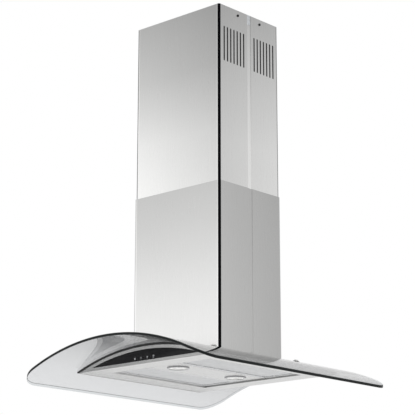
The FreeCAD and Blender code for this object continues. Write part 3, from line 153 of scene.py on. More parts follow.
def spread(finish, noise, low, high):
    """Noise mostly lies between 0.3 and 0.7; this stretches that to a new range."""
    return rescale(finish, noise, 0.3, 0.7, low, high)


def relief(finish, shader, height, depth, strength=1.0):
    """Lets a value raise the surface by a depth in metres, as far as light is concerned."""
    made = node(finish, "ShaderNodeBump", Height=height, Distance=depth, Strength=strength)
    wire(finish, made.outputs["Normal"], shader.inputs["Normal"])


def coordinate(finish, kind, axis):
    """One axis of the place on the part, or of the direction that its surface faces."""
    source = node(finish, "ShaderNodeTexCoord").outputs[kind]
    return node(finish, "ShaderNodeSeparateXYZ", Vector=source).outputs[axis]


# %% [markdown]
# ## Brushed stainless steel
# The covers, the body and the lamp strip are thin stainless sheet with a fine brush. On a photograph the scratches
# are too fine to see one by one. They show as a soft, wide reflection with faint streaks along the brushing. A metal
# shader with medium roughness gives the wide reflection. Stretched noise varies the roughness and the height a little
# for the streaks, and large soft noise keeps the sheet from looking computer-clean. The tone also changes with height
# and a little across, and walls that face left or right may get tones of their own. These changes are painted shade
# and painted reflection, for the brighter and darker parts of the room that the sheet would mirror.

# %% Brushed steel
SCRATCHES = {"X": (0.012, 1.0, 1.0), "Z": (1.0, 1.0, 0.012)}
SIDEWAYS = 0.7  # a wall whose normal lies along X by more than this faces left or right


def tone_by_height(finish, tones):
    """tones are (height in metres, grey) pairs from low to high."""
    low, high = tones[0][0], tones[-1][0]
    share = rescale(finish, coordinate(finish, "Object", "Z"), low, high, 0.0, 1.0)
    places = [((height - low) / (high - low), grey) for height, grey in tones]
    return grey_ramp(finish, share, places, blue=0.99)


def blend(finish, share, first, second):
    """The first colour where share is 0, the second where it is 1."""
    made = finish.node_tree.nodes.new("ShaderNodeMix")
    made.data_type = "RGBA"
    colours = [entry for entry in made.inputs if entry.type == "RGBA"]
    for entry, value in zip([made.inputs[0]] + colours, (share, first, second)):
        feed(finish, entry, value)
    return next(exit for exit in made.outputs if exit.type == "RGBA")


def brushed_steel(name, tones, along="Z", roughness=0.3, side_painted_shade=None, painted_light_slope=(0.0, 0.0)):
    """Brushed along one axis; walls that face left or right may have tones of their own.

    The last argument is painted light: how much lighter the sheet gets per metre to the right and to the rear.
    """
    finish, shader = new_finish(name, roughness, metallic=1.0)
    tone = tone_by_height(finish, tones)
    # Walls that face left or right get a painted shade of their own.
    if side_painted_shade:
        sideways = maths(finish, "GREATER_THAN",
                         maths(finish, "ABSOLUTE", coordinate(finish, "Normal", "X")), SIDEWAYS)
        tone = blend(finish, sideways, tone, tone_by_height(finish, side_painted_shade))
    streaks = speckle(finish, 700.0, detail=2.0, stretch=SCRATCHES[along])
    patches = speckle(finish, 3.0)
    both = maths(finish, "ADD", spread(finish, streaks, -0.012, 0.012), spread(finish, patches, 0.985, 1.015))
    # A painted light slope: the sheet gets lighter per metre to the right and to the rear by the given amounts.
    for axis, change in zip("XY", painted_light_slope):
        both = maths(finish, "ADD", both, maths(finish, "MULTIPLY", coordinate(finish, "Object", axis), change))
    wire(finish, shaded(finish, tone, both), shader.inputs["Base Color"])
    wire(finish, spread(finish, streaks, roughness - 0.03, roughness + 0.03), shader.inputs["Roughness"])
    relief(finish, shader, streaks, 0.00001, 0.25)
    return finish, shader


floor_of_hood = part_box("bottom_pan")[0].z
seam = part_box("lower_cover_front")[1].z
print("underside of the body at", round(floor_of_hood, 4), "m, seam of the covers at", round(seam, 4), "m")

# %% [markdown]
# ## The bends of the covers
# Each cover half is folded from one sheet. The fold and the first millimetre beside it carry a painted reflection:
# the dark room as a thin upright line, black at the front right corner and a soft grey at the others, which face
# brighter parts of the room. Beside it the wall carries a painted highlight, a thin line of light. The folds aren't
# parts of their own, so the finish finds them by their distance from the cover's corners. The inner faces of a cover
# are a flat dull grey, painted shade for the little light that gets there. They turn away from the walls' outside:
# on them the place and the facing direction have opposite signs.

# %% Covers, upper and lower
# Widths in metres: the fold's painted reflection, and the painted highlight beside it.
FOLD, GLINT = 0.0068, 0.0038
INWARD = -0.02  # on an inner face, place times facing direction lies below this
# The painted reflection on the front right fold, and the painted shade on the inner faces.
FOLD_PAINTED_REFLECTION, INNER_PAINTED_SHADE = (0.004, 0.004, 0.005, 1.0), (0.45, 0.45, 0.45, 1.0)


def painted_fold_light_and_inner_shade(finish, shader, name, soft_painted_reflection):
    """Paints reflections on folds, highlights beside them and shade inside, for a cover of the named part's size."""
    half_x, half_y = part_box(name)[1].x, -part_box(name)[0].y
    x, y = coordinate(finish, "Object", "X"), coordinate(finish, "Object", "Y")
    across, forward = maths(finish, "ABSOLUTE", x), maths(finish, "ABSOLUTE", y)
    corner_y = maths(finish, "GREATER_THAN", forward, half_y - FOLD)
    fold = maths(finish, "MULTIPLY", maths(finish, "GREATER_THAN", across, half_x - FOLD), corner_y)
    glint = maths(finish, "MULTIPLY", maths(finish, "GREATER_THAN", across, half_x - FOLD - GLINT), corner_y)
    outward = maths(finish, "ADD", maths(finish, "MULTIPLY", x, coordinate(finish, "Normal", "X")),
                    maths(finish, "MULTIPLY", y, coordinate(finish, "Normal", "Y")))
    inside = maths(finish, "LESS_THAN", outward, INWARD)
    wall = shader.inputs["Base Color"].links[0].from_socket
    # Painted highlight: the wall beside each fold is made a quarter lighter.
    tone = shaded(finish, wall, maths(finish, "ADD", maths(finish, "MULTIPLY", glint, 0.25), 1.0))
    front_right = maths(finish, "MULTIPLY", maths(finish, "GREATER_THAN", x, 0.0),
                        maths(finish, "LESS_THAN", y, 0.0))
    # Painted reflection on the folds: black at the front right corner, the given soft grey at the others.
    tone = blend(finish, fold, tone, blend(finish, front_right, soft_painted_reflection, FOLD_PAINTED_REFLECTION))
    # Painted shade on the inner faces.
    wire(finish, blend(finish, inside, tone, INNER_PAINTED_SHADE), shader.inputs["Base Color"])


# Grey by height for the front and rear walls and for the side walls of each cover: painted shade and painted
# reflection, lighter towards the seam on the upper cover and towards the bottom on the lower one.
UPPER = [(seam, 0.93), (-0.42, 0.85), (-0.2, 0.6), (0.0, 0.48)]
UPPER_SIDE = [(seam, 0.97), (-0.45, 0.96), (-0.25, 0.84), (0.0, 0.66)]
LOWER = [(-1.1, 0.83), (-0.9, 0.74), (-0.7, 0.61), (seam, 0.56)]
LOWER_SIDE = [(-1.1, 0.58), (-0.9, 0.58), (-0.7, 0.57), (seam, 0.56)]
# Each cover also gets a painted light slope across it, and its own soft grey as painted reflection on its folds.
upper_steel, shader = brushed_steel("Brushed steel, upper cover", UPPER, side_painted_shade=UPPER_SIDE, painted_light_slope=(-0.72, 0.4))
painted_fold_light_and_inner_shade(upper_steel, shader, "upper_cover_front", (0.2, 0.2, 0.2, 1.0))
dress(upper_steel, "upper_cover_front", "upper_cover_rear")
lower_steel, shader = brushed_steel("Brushed steel, lower cover", LOWER, side_painted_shade=LOWER_SIDE, painted_light_slope=(0.0, -0.57))
painted_fold_light_and_inner_shade(lower_steel, shader, "lower_cover_front", (0.6, 0.6, 0.6, 1.0))
dress(lower_steel, "lower_cover_front", "lower_cover_rear")
# The joint strips take the side walls' painted shade.
dress(brushed_steel("Brushed steel, upper joint strips", UPPER_SIDE)[0], "upper_cover_laps")
dress(brushed_steel("Brushed steel, lower joint strips", LOWER_SIDE)[0], "lower_cover_laps")

# %% [markdown]
# ## The body
# The body is the low steel box under the glass. Its underside is brushed from side to side and faces the bright
# floor, the fascia is brushed along the front, and the arched top sheet is seen through the glass. The pan's left
# edge is hemmed, and the shade in the gap of the hem is painted on the pan as a thin dark line.

# %% Body sheets
# The hem's width, and the painted shade in its gap.
HEM, HEM_PAINTED_SHADE = 0.0045, (0.03, 0.03, 0.03, 1.0)
UNDERSIDE = [(floor_of_hood, 0.6), (floor_of_hood + 0.01, 0.58)]
dress(brushed_steel("Brushed steel, underside", UNDERSIDE, "X", 0.24)[0], "lamp_strip")
pan_steel, shader = brushed_steel("Brushed steel, pan", UNDERSIDE, "X", 0.24)
# A painted dark line along the pan's left edge, for the shade in the hem's gap.
hem = maths(pan_steel, "LESS_THAN", coordinate(pan_steel, "Object", "X"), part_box("bottom_pan")[0].x + HEM)
pan_tone = shader.inputs["Base Color"].links[0].from_socket
wire(pan_steel, blend(pan_steel, hem, pan_tone, HEM_PAINTED_SHADE), shader.inputs["Base Color"])
dress(pan_steel, "bottom_pan")
# Painted shade in the recess: its walls that face left or right keep a plain tone, the others are much darker.
RECESS, RECESS_SIDE = [[(floor_of_hood, grey), (floor_of_hood + 0.014, grey)] for grey in (0.3, 0.6)]
dress(brushed_steel("Brushed steel, recess", RECESS, "X", 0.3, RECESS_SIDE)[0], "recess_frame")
# Painted shade on the fascia from the glass above it, darkest at its foot.
FASCIA = [(floor_of_hood, 0.4), (floor_of_hood + 0.01, 0.42), (-1.13, 0.5), (-1.1, 0.48)]
dress(brushed_steel("Brushed steel, fascia", FASCIA, "X", 0.26)[0], "front_fascia", "rear_fascia")
TOP_SHEET = [(floor_of_hood, 0.48), (-1.1, 0.48)]
dress(brushed_steel("Brushed steel, top sheet", TOP_SHEET, "X", 0.3)[0], "top_shell")

# %% [markdown]
# ## Galvanised sheet
# Everything that hides inside the chimney is zinc-coated sheet: dull, with the flower-like crystals called spangle.
# A Voronoi texture has just such cells, one tone per cell, so it drives the colour a little and the roughness more.

# %% Inner sheet metal
def spangled_zinc(name):
    finish, shader = new_finish(name, 0.5, metallic=1.0)
    places = node(finish, "ShaderNodeTexCoord").outputs["Object"]
    cells = node(finish, "ShaderNodeTexVoronoi", Vector=places, Scale=110.0, Randomness=1.0).outputs["Color"]
    grey = node(finish, "ShaderNodeSeparateColor", Color=cells).outputs["Red"]
    tone = node(finish, "ShaderNodeCombineColor")
    for entry, tint in zip(tone.inputs, (0.97, 1.0, 1.03)):
        wire(finish, rescale(finish, grey, 0.0, 1.0, 0.68 * tint, 0.86 * tint), entry)
    wire(finish, tone.outputs["Color"], shader.inputs["Base Color"])
    wire(finish, rescale(finish, grey, 0.0, 1.0, 0.38, 0.6), shader.inputs["Roughness"])
    return finish


dress(spangled_zinc("Galvanised sheet"), "ceiling_plate", "upper_posts", "lower_posts", "frame_plate", "blower_box",
      "inlet_plate", "motor_bracket", "outlet_collar", "capacitor_clip")

# %% [markdown]
# ## Small metal parts
# Bolts, the hinge rod and the shaft are bright turned steel, the cover screws are blackened, and the filter frames
# are mill-finish aluminium. One helper serves them all: a metal with a tone, a roughness, fine speckle for machining
# marks and broad patches for handling.

# %% Plain metals
def worked_metal(name, colour, roughness, marks=2500.0):
    finish, shader = new_finish(name, roughness, metallic=1.0)
    fine, broad = speckle(finish, marks), speckle(finish, 40.0)
    change = maths(finish, "ADD", spread(finish, fine, -0.04, 0.04), spread(finish, broad, 0.94, 1.06))
    wire(finish, shaded(finish, colour, change), shader.inputs["Base Color"])
    wire(finish, spread(finish, broad, roughness * 0.8, roughness * 1.2), shader.inputs["Roughness"])
    relief(finish, shader, fine, 0.00001, 0.3)
    return finish


dress(worked_metal("Bright steel", (0.66, 0.66, 0.65), 0.22), "glass_bolts", "post_bolts", "filter_hinge_rod",
      "damper_pins", "motor_shaft", "filter_keeper_left", "filter_keeper_right")
dress(worked_metal("Blackened screws", (0.03, 0.03, 0.032), 0.35), "cover_screws")
dress(worked_metal("Mill-finish aluminium", (0.62, 0.625, 0.63), 0.3), "filter_frame_left", "filter_frame_right")
dress(worked_metal("Satin chrome", (0.36, 0.36, 0.37), 0.16), "lamp_housing_front", "lamp_housing_rear")

# %% [markdown]
# ## Plastics and rubber
# Moulded plastic is never quite even: the mould leaves a fine grain, and handling leaves shinier spots. The helper
# takes a colour, a roughness and how coarse and deep the grain is. Rubber is the same with a rougher, duller skin.

# %% Plastics
def moulded(name, colour, roughness, grain=1500.0, depth=0.00002):
    finish, shader = new_finish(name, roughness)
    fine, broad = speckle(finish, grain), speckle(finish, 25.0)
    wire(finish, shaded(finish, colour, spread(finish, broad, 0.9, 1.1)), shader.inputs["Base Color"])
    wire(finish, spread(finish, broad, roughness * 0.85, min(1.0, roughness * 1.15)), shader.inputs["Roughness"])
    relief(finish, shader, fine, depth, 0.5)
    return finish


dress(moulded("Seal rubber", (0.012, 0.012, 0.012), 0.62), "glass_seal", "glass_washers")
dress(moulded("Grey latch plastic", (0.4, 0.4, 0.41), 0.4), "filter_latch_left", "filter_latch_right")
dress(moulded("Black inner plastic", (0.03, 0.03, 0.03), 0.5), "power_box", "cable_gland", "control_housing",
      "tact_switches")
dress(moulded("Cable jacket", (0.09, 0.09, 0.09), 0.45), "wiring")
dress(moulded("White driver case", (0.78, 0.78, 0.76), 0.5), "led_driver", "capacitor")
dress(moulded("Motor enamel", (0.16, 0.165, 0.17), 0.38), "motor")
dress(moulded("Impeller plastic", (0.05, 0.05, 0.055), 0.45), "impeller")
dress(moulded("Flap plastic", (0.1, 0.1, 0.1), 0.5), "damper_flap_front", "damper_flap_rear")

# %% [markdown]
# ## Black control panel and keys
# The panel is deep gloss black, so it shows almost only what it mirrors. Low roughness does that, and a faint noise
# in the roughness stands for wiping marks. The keys are the same black with a satin skin, which sets them off.

# %% Panel and keys
panel_black = moulded("Gloss black panel", (0.008, 0.008, 0.009), 0.08, grain=400.0, depth=0.000002)
panel_black.node_tree.nodes["Principled BSDF"].inputs["Specular IOR Level"].default_value = 0.15
dress(panel_black, "control_panel")
dress(moulded("Satin black keys", (0.014, 0.014, 0.015), 0.3), "key_power", "key_slower", "key_faster", "key_light")

# %% [markdown]
# ## Circuit boards
# The boards hide behind the panel and in the lamps. A green solder mask over copper tracks shows as slightly lighter
# lines, which a brick texture draws well enough at this size.

# %% Circuit boards
def solder_mask(name):
    finish, shader = new_finish(name, 0.35)
    places = node(finish, "ShaderNodeTexCoord").outputs["Object"]
    tracks = node(finish, "ShaderNodeTexBrick", Vector=places, Color1=(0.02, 0.16, 0.06, 1.0),
                  Color2=(0.015, 0.13, 0.05, 1.0), Mortar=(0.05, 0.3, 0.12, 1.0), Scale=120.0)
    wire(finish, tracks.outputs["Color"], shader.inputs["Base Color"])
    return finish


dress(solder_mask("Green solder mask"), "control_board", "led_boards")

# %% [markdown]
# ## A canopy of bent glass
# The canopy is one sheet of 8 mm glass, bent to an arc from left to right, with round corners, a cut-out for the
# chimney and four holes for its studs. Its rim is ground: a flat edge with a small bevel, the arris, on both sides.
# A flat grid could be bent with a modifier, but the holes would stretch. Here the outline is filled flat, cut into
# narrow strips so that it can bend, and each vertex is then lifted onto the arc.

# %% The canopy's outline, seen from above
glass_low, glass_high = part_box("glass_canopy")
GLASS_RADIUS, GLASS_THICK, ARRIS = 0.808, 0.008, 0.0008
CORNER, CORNER_STEPS = 0.07, 14
CUT_OUT_X, CUT_OUT_Y, CUT_OUT_CORNER = 0.156, 0.131, 0.004
STUD_X, STUD_Y, STUD_HOLE, HOLE_SIDES = 0.203, 0.195, 0.005, 16
axis_z = glass_high.z - GLASS_RADIUS


def arc_points(x, y, radius, start, end, count):
    turns = [math.radians(start + (end - start) * i / count) for i in range(count + 1)]
    return [(x + radius * math.cos(t), y + radius * math.sin(t)) for t in turns]


def rounded_outline(half_x, half_y, corner):
    x, y = half_x - corner, half_y - corner
    centres = [(x, y), (-x, y), (-x, -y), (x, -y)]
    return [point for quarter, (a, b) in enumerate(centres)
            for point in arc_points(a, b, corner, 90 * quarter, 90 * quarter + 90, CORNER_STEPS)]


outlines = [rounded_outline(glass_high.x - ARRIS, glass_high.y - ARRIS, CORNER - ARRIS),
            rounded_outline(CUT_OUT_X + ARRIS, CUT_OUT_Y + ARRIS, CUT_OUT_CORNER)]
for side in (-1, 1):
    for end in (-1, 1):
        outlines.append(arc_points(STUD_X * side, STUD_Y * end, STUD_HOLE + ARRIS,
                                   0, 360 - 360 / HOLE_SIDES, HOLE_SIDES - 1))
print("canopy:", len(outlines), "outlines, bent round an axis at z", round(axis_z, 4), "m")

# %% [markdown]
# Blender fills a flat curve with holes by itself, so the outlines go into one 2D curve whose mesh is taken over. The
# strips come from bisecting it every 8 mm.

# %% Fill the outline and cut it into strips
STRIP = 0.008


def filled(outlines):
    curve = bpy.data.curves.new("outline", "CURVE")
    curve.dimensions, curve.fill_mode = "2D", "BOTH"
    for points in outlines:
        spline = curve.splines.new("POLY")
        spline.points.add(len(points) - 1)
        for target, (x, y) in zip(spline.points, points):
            target.co = (x, y, 0.0, 1.0)
        spline.use_cyclic_u = True
    drawn = bpy.data.objects.new("outline", curve)
    flat = bmesh.new()
    flat.from_mesh(drawn.to_mesh())
    drawn.to_mesh_clear()
    bpy.data.objects.remove(drawn)
    bmesh.ops.remove_doubles(flat, verts=flat.verts, dist=1e-6)
    return flat


flat = filled(outlines)
strips_a_side = int(glass_high.x / STRIP)
for step in range(-strips_a_side, strips_a_side + 1):
    everything = flat.verts[:] + flat.edges[:] + flat.faces[:]
    bmesh.ops.bisect_plane(flat, geom=everything, plane_co=(step * STRIP, 0, 0), plane_no=(1, 0, 0), dist=1e-6)
for face in flat.faces:
    if face.normal.z < 0:
        face.normal_flip()
print("flat canopy:", len(flat.faces), "faces")

# %% [markdown]
# The rim grows outwards from the filled outline. At each vertex the two neighbouring rim edges give a mitre, the
# same rule that a joiner uses at a corner, and four rings make the upper arris, the flat edge and the lower arris.
# Exact shading normals are set one by one on the two big faces, because a long thin strip can't average them well.

# %% Bend the canopy and grow its rim
GLASS, RIM, BEVEL = range(3)


def on_arc(radius, x):
    return axis_z + math.sqrt(radius * radius - x * x)


def placed(name, data):
    """A new object in the scene."""
    made = bpy.data.objects.new(name, data)
    bpy.context.scene.collection.objects.link(made)
    return made


outward = {}
rim_edges = []
for edge in flat.edges:
    if len(edge.link_loops) == 1:
        loop = edge.link_loops[0]
        start, end = loop.vert, loop.link_loop_next.vert
        run = (end.co - start.co).normalized()
        rim_edges.append((start.index, end.index))
        for corner in (start, end):
            outward.setdefault(corner.index, []).append(Vector((run.y, -run.x, 0)))
flat.verts.index_update()
spots = [v.co.copy() for v in flat.verts]
under = GLASS_RADIUS - GLASS_THICK
vertices = [(p.x, p.y, on_arc(GLASS_RADIUS, p.x)) for p in spots]
vertices += [(p.x, p.y, on_arc(under, p.x)) for p in spots]
upper_rim, lower_rim = {}, {}
for index, pair in outward.items():
    mitre = (pair[0] + pair[-1]) / (1 + pair[0].dot(pair[-1]))
    place = spots[index] + mitre * ARRIS
    upper_rim[index], lower_rim[index] = len(vertices), len(vertices) + 1
    vertices.append((place.x, place.y, on_arc(GLASS_RADIUS, place.x) - ARRIS))
    vertices.append((place.x, place.y, on_arc(under, place.x) + ARRIS))
count = len(spots)
tops = [[v.index for v in face.verts] for face in flat.faces]
faces = tops + [[i + count for i in reversed(top)] for top in tops]
finish_of = [GLASS] * len(faces)
for a, b in rim_edges:
    faces += [(b, a, upper_rim[a], upper_rim[b]), (upper_rim[b], upper_rim[a], lower_rim[a], lower_rim[b]),
              (lower_rim[b], lower_rim[a], a + count, b + count)]
    finish_of += [BEVEL, RIM, BEVEL]
flat.free()
canopy_mesh = bpy.data.meshes.new("canopy")
canopy_mesh.from_pydata(vertices, [], faces)
normals = []
for polygon in canopy_mesh.polygons:
    polygon.use_smooth = True
    polygon.material_index = finish_of[polygon.index]
    for corner in polygon.vertices:
        x, _, z = vertices[corner]
        radial = Vector((x, 0, z - axis_z)).normalized()
        if finish_of[polygon.index] != GLASS:
            normals.append(polygon.normal)
        else:
            normals.append(radial if polygon.index < len(tops) else -radial)
canopy_mesh.normals_split_custom_set(normals)
canopy = placed("canopy", canopy_mesh)
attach(canopy, "hood")
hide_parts("glass_canopy")
print("canopy:", len(faces), "faces,", len(rim_edges), "along the rims")

# %% [markdown]
# ## Glass and its ground rim
# Real glass bends light at both faces and mirrors some of it. Here light passes almost straight, at an index near 1,
# because a bent slab that bends light shows the steel behind it displaced and doubled. A clear coat with the index of
# glass does the mirroring instead. The tint depends on the slant of the view, and shadow rays pass almost freely, or
# the sheet would cast a black shadow. The ground rim is another matter. It scatters light inside the edge and looks
# near black from outside, and pale grey seen through the sheet from inside, so the rim is a finish of its own that
# tells the two sides of its surface apart. The two narrow bevels stay dark from both sides and draw the thin line
# that a glass edge shows all round.

# %% Finish: glass
clear_glass, shader = new_finish("Canopy glass", 0.0)
shader.inputs["Transmission Weight"].default_value = 1.0
shader.inputs["IOR"].default_value = 1.02
shader.inputs["Coat Weight"].default_value = 1.0
shader.inputs["Coat Roughness"].default_value = 0.01
shader.inputs["Coat IOR"].default_value = 1.46
smears = speckle(clear_glass, 9.0)
slant = node(clear_glass, "ShaderNodeLayerWeight", Blend=0.5).outputs["Facing"]
CLEAR = [(0.35, 0.88), (0.6, 0.66), (0.78, 0.32), (0.9, 1.0)]  # slant of the view, share of light let through
clearness = maths(clear_glass, "MULTIPLY", grey_ramp(clear_glass, slant, CLEAR),
                  spread(clear_glass, smears, 0.985, 1.0))
tint = shaded(clear_glass, (0.975, 0.985, 1.0), clearness)
wire(clear_glass, tint, shader.inputs["Base Color"])
free = node(clear_glass, "ShaderNodeBsdfTransparent", Color=(0.86, 0.88, 0.89, 1.0))
shadow_ray = node(clear_glass, "ShaderNodeLightPath").outputs["Is Shadow Ray"]
choose(clear_glass, shadow_ray, shader.outputs["BSDF"], free.outputs["BSDF"])

ground_rim, shader = new_finish("Ground glass rim", 0.35)
frost = speckle(ground_rim, 1200.0)
tone = shaded(ground_rim, (0.01, 0.012, 0.012), spread(ground_rim, frost, 0.7, 1.3))
wire(ground_rim, tone, shader.inputs["Base Color"])
shader.inputs["Specular IOR Level"].default_value = 0.12
relief(ground_rim, shader, frost, 0.00002, 0.4)
pale = node(ground_rim, "ShaderNodeBsdfTransparent", Color=(0.8, 0.82, 0.83, 1.0))
inside = node(ground_rim, "ShaderNodeNewGeometry").outputs["Backfacing"]
choose(ground_rim, inside, shader.outputs["BSDF"], pale.outputs["BSDF"])
arris_finish = moulded("Ground arris", (0.05, 0.055, 0.055), 0.5)
for finish in (clear_glass, ground_rim, arris_finish):
    canopy_mesh.materials.append(finish)
print("canopy finishes:", [m.name for m in canopy_mesh.materials])

# %% [markdown]
# ## Expanded aluminium in the filters
# A grease filter is a frame around layers of expanded mesh: sheet that is slit and pulled into diamonds. A picture of
# a mesh would look flat up close, so the diamonds are real: a sheet of diamond-shaped faces, whose edges a Wireframe
# modifier turns into strands. Below, two layers cross each other; above there is one more, and a plain inner layer
# between them stops the eye, as the many layers of a real filter do.

# %% Filter nets
STRAND = 0.0011


def as_mesh(name, form):
    """Ends the work on a form and gives its mesh."""
    made = bpy.data.meshes.new(name)
    form.to_mesh(made)
    form.free()
    return made


def diamond_layer(low, high, z, columns, rows):
    """A sheet of diamonds that fills the opening from edge to edge."""
    mesh = bmesh.new()
    wide, tall = (high.x - low.x) / columns, (high.y - low.y) / rows
    grid = {}

    def spot(i, j):
        if (i, j) not in grid:
            grid[i, j] = mesh.verts.new((low.x + i * wide / 2, low.y + j * tall / 2, z))
        return grid[i, j]

    for i in range(2 * columns + 1):
        for j in range(2 * rows + 1):
            if (i + j) % 2:
                around = [(i - 1, j), (i, j - 1), (i + 1, j), (i, j + 1)]
                inside = [p for p in around if 0 <= p[0] <= 2 * columns and 0 <= p[1] <= 2 * rows]
                if len(inside) > 2:
                    mesh.faces.new([spot(*p) for p in inside])
    return as_mesh("net", mesh)


net_metal = worked_metal("Net aluminium", (0.66, 0.665, 0.67), 0.38)
for hand in ("left", "right"):
    low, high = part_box(f"filter_mesh_{hand}")
    layers = [("lower", low.z + STRAND, 11, 70), ("cross", low.z + 2 * STRAND, 15, 44),
              ("upper", high.z - STRAND, 11, 70)]
    for layer, z, columns, rows in layers:
        net = placed(f"net_{layer}_{hand}", diamond_layer(low, high, z, columns, rows))
        strands = net.modifiers.new("strands", "WIREFRAME")
        strands.thickness, strands.use_even_offset = STRAND, False
        net.data.materials.append(net_metal)
        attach(net, f"filter_{hand}")
        if layer == "lower":
            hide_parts(f"filter_mesh_{hand}")
    print("net", hand, "fills", [round((b - a) * 1000) for a, b in zip(low, high)], "mm")

# %% [markdown]
# The inner layer is a thin plate with the same outline. Fine noise in its relief makes it glitter like packed
# strands.

# %% Inner layer of the filters
def block(name, low, high):
    """A box mesh between two corners."""
    form = bmesh.new()
    bmesh.ops.create_cube(form, size=1.0)
    for vertex in form.verts:
        vertex.co = Vector([a + (b - a) * (c + 0.5) for a, b, c in zip(low, high, vertex.co)])
    return placed(name, as_mesh(name, form))


packed = worked_metal("Packed strands", (0.5, 0.505, 0.51), 0.5, marks=900.0)
for hand in ("left", "right"):
    low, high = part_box(f"filter_mesh_{hand}")
    middle = (low.z + high.z) / 2
    fill = block(f"net_inner_{hand}", (low.x, low.y, middle), (high.x, high.y, middle + STRAND))
    fill.data.materials.append(packed)
    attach(fill, f"filter_{hand}")
    print(fill.name, "lies between the nets")

# %% [markdown]
# ## Nets behind the vents
# The slots near the ceiling let air out, and they look black from every side. A fine black net lies behind each
# group of slots, so that nobody looks through the chimney. The net is painted shade: a dark sheet that stands in for
# the dark inside of the chimney. It is drawn as crossing ribs with a dark cloth finish.

# %% Vent nets
THREAD, THREAD_PITCH, BEHIND_WALL = 0.0014, 0.003, 0.002
NET_NEAR, NET_FAR = 0.019, 0.128
NET_BOTTOM, NET_TOP = -0.196, -0.065


def woven(low, high, x, pitch):
    """An upright grid of threads in the plane of one x, between two corners."""
    mesh = bmesh.new()
    across, up = round((high.y - low.y) / pitch), round((high.z - low.z) / pitch)
    spots = [[mesh.verts.new((x, low.y + (high.y - low.y) * i / across, low.z + (high.z - low.z) * j / up))
              for j in range(up + 1)] for i in range(across + 1)]
    for first, second in zip(spots, spots[1:]):
        for j in range(up):
            mesh.faces.new((first[j], second[j], second[j + 1], first[j + 1]))
    return as_mesh("vent_net", mesh)


# Near black, as painted shade for the inside of the chimney.
painted_shade_cloth = moulded("Painted shade net", (0.012, 0.012, 0.012), 0.7)
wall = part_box("upper_cover_front")[1].x - BEHIND_WALL
for side, hand in ((-1, "left"), (1, "right")):
    for end, place in ((-1, "front"), (1, "rear")):
        edges = sorted((NET_NEAR * end, NET_FAR * end))
        low, high = Vector((0, edges[0], NET_BOTTOM)), Vector((0, edges[1], NET_TOP))
        net = placed(f"vent_net_{place}_{hand}", woven(low, high, wall * side, THREAD_PITCH))
        threads = net.modifiers.new("threads", "WIREFRAME")
        threads.thickness, threads.use_replace = THREAD, False
        net.data.materials.append(painted_shade_cloth)
        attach(net, "ceiling_mount")
print("four vent nets at x", round(wall, 4), "m")

# %% [markdown]
# ## Signs on the keys
# Each key carries one small pale sign: a broken ring for power, minus and plus for the fan, a bulb for the lamps. The
# signs are raised a little, as on a printed and cured film. A ribbon along a path of points has the even width of
# such line signs, and a Solidify modifier gives it its thickness.

# %% Key signs
LINE_WIDTH, FILM = 0.8, 0.00012


def ribbon(paths, width, front, middle):
    """Flat ribbons along paths of (across, up) points, in millimetres, on an upright face."""
    mesh = bmesh.new()
    for points in paths:
        rails = []
        for i, (x, z) in enumerate(points):
            before, after = points[max(i - 1, 0)], points[min(i + 1, len(points) - 1)]
            run = Vector((after[0] - before[0], after[1] - before[1])).normalized() * width / 2
            spots = [(x + run.y * s, z - run.x * s) for s in (-1, 1)]
            rails.append([mesh.verts.new((a / 1000 + middle.x, front, b / 1000 + middle.z)) for a, b in spots])
        for (a, b), (c, d) in zip(rails, rails[1:]):
            mesh.faces.new((a, c, d, b))
    bmesh.ops.recalc_face_normals(mesh, faces=mesh.faces)
    return as_mesh("sign", mesh)


ring = arc_points(0, -0.3, 2.3, 125, 415, 24)
bulb = arc_points(0, 0.7, 2.0, -50, 230, 20)
SIGNS = {"power": [ring, [(0, 0.2), (0, 3.2)]], "slower": [[(-2.4, 0), (2.4, 0)]],
         "faster": [[(-2.4, 0), (2.4, 0)], [(0, 0.45), (0, 2.4)], [(0, -0.45), (0, -2.4)]],
         "light": [bulb, [(-1.1, -2.1), (1.1, -2.1)], [(-0.8, -3.1), (0.8, -3.1)]]}
sign_film = moulded("Pale sign film", (0.75, 0.76, 0.78), 0.45)
for key, paths in SIGNS.items():
    low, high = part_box(f"key_{key}")
    sign = placed(f"sign_{key}", ribbon(paths, LINE_WIDTH, low.y, (low + high) / 2))
    film = sign.modifiers.new("film", "SOLIDIFY")
    film.thickness, film.offset = FILM, 0.0
    sign.data.materials.append(sign_film)
    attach(sign, f"button_{key}")
    print(sign.name, "on its key at x", round((low.x + high.x) / 2, 4), "m")

# %% [markdown]
# ## Lamp lenses
# Each lamp is closed by a lens of pressed glass, slightly domed, with fine ribs in rings that spread the light. Its
# profile is drawn once and turned round the lamp's axis, the way a potter or a lathe would make it.

# %% Turn the lenses
RINGS, DOME, RIB = 24, 0.0006, 0.00025


def turned(name, profile, centre, steps=64):
    """A mesh from (radius, height) points turned round an upright axis."""
    mesh = bmesh.new()
    rings = []
    for radius, height in profile:
        if radius == 0:
            rings.append([mesh.verts.new((centre.x, centre.y, height))] * steps)
        else:
            turns = [2 * math.pi * i / steps for i in range(steps)]
            rings.append([mesh.verts.new((centre.x + radius * math.cos(t), centre.y + radius * math.sin(t), height))
                          for t in turns])
    for inner, outer in zip(rings, rings[1:]):
        for i in range(steps):
            corners = [inner[i], outer[i], outer[(i + 1) % steps], inner[(i + 1) % steps]]
            mesh.faces.new(list(dict.fromkeys(corners)))
    bmesh.ops.recalc_face_normals(mesh, faces=mesh.faces)
    for face in mesh.faces:
        face.smooth = True
    return placed(name, as_mesh(name, mesh))


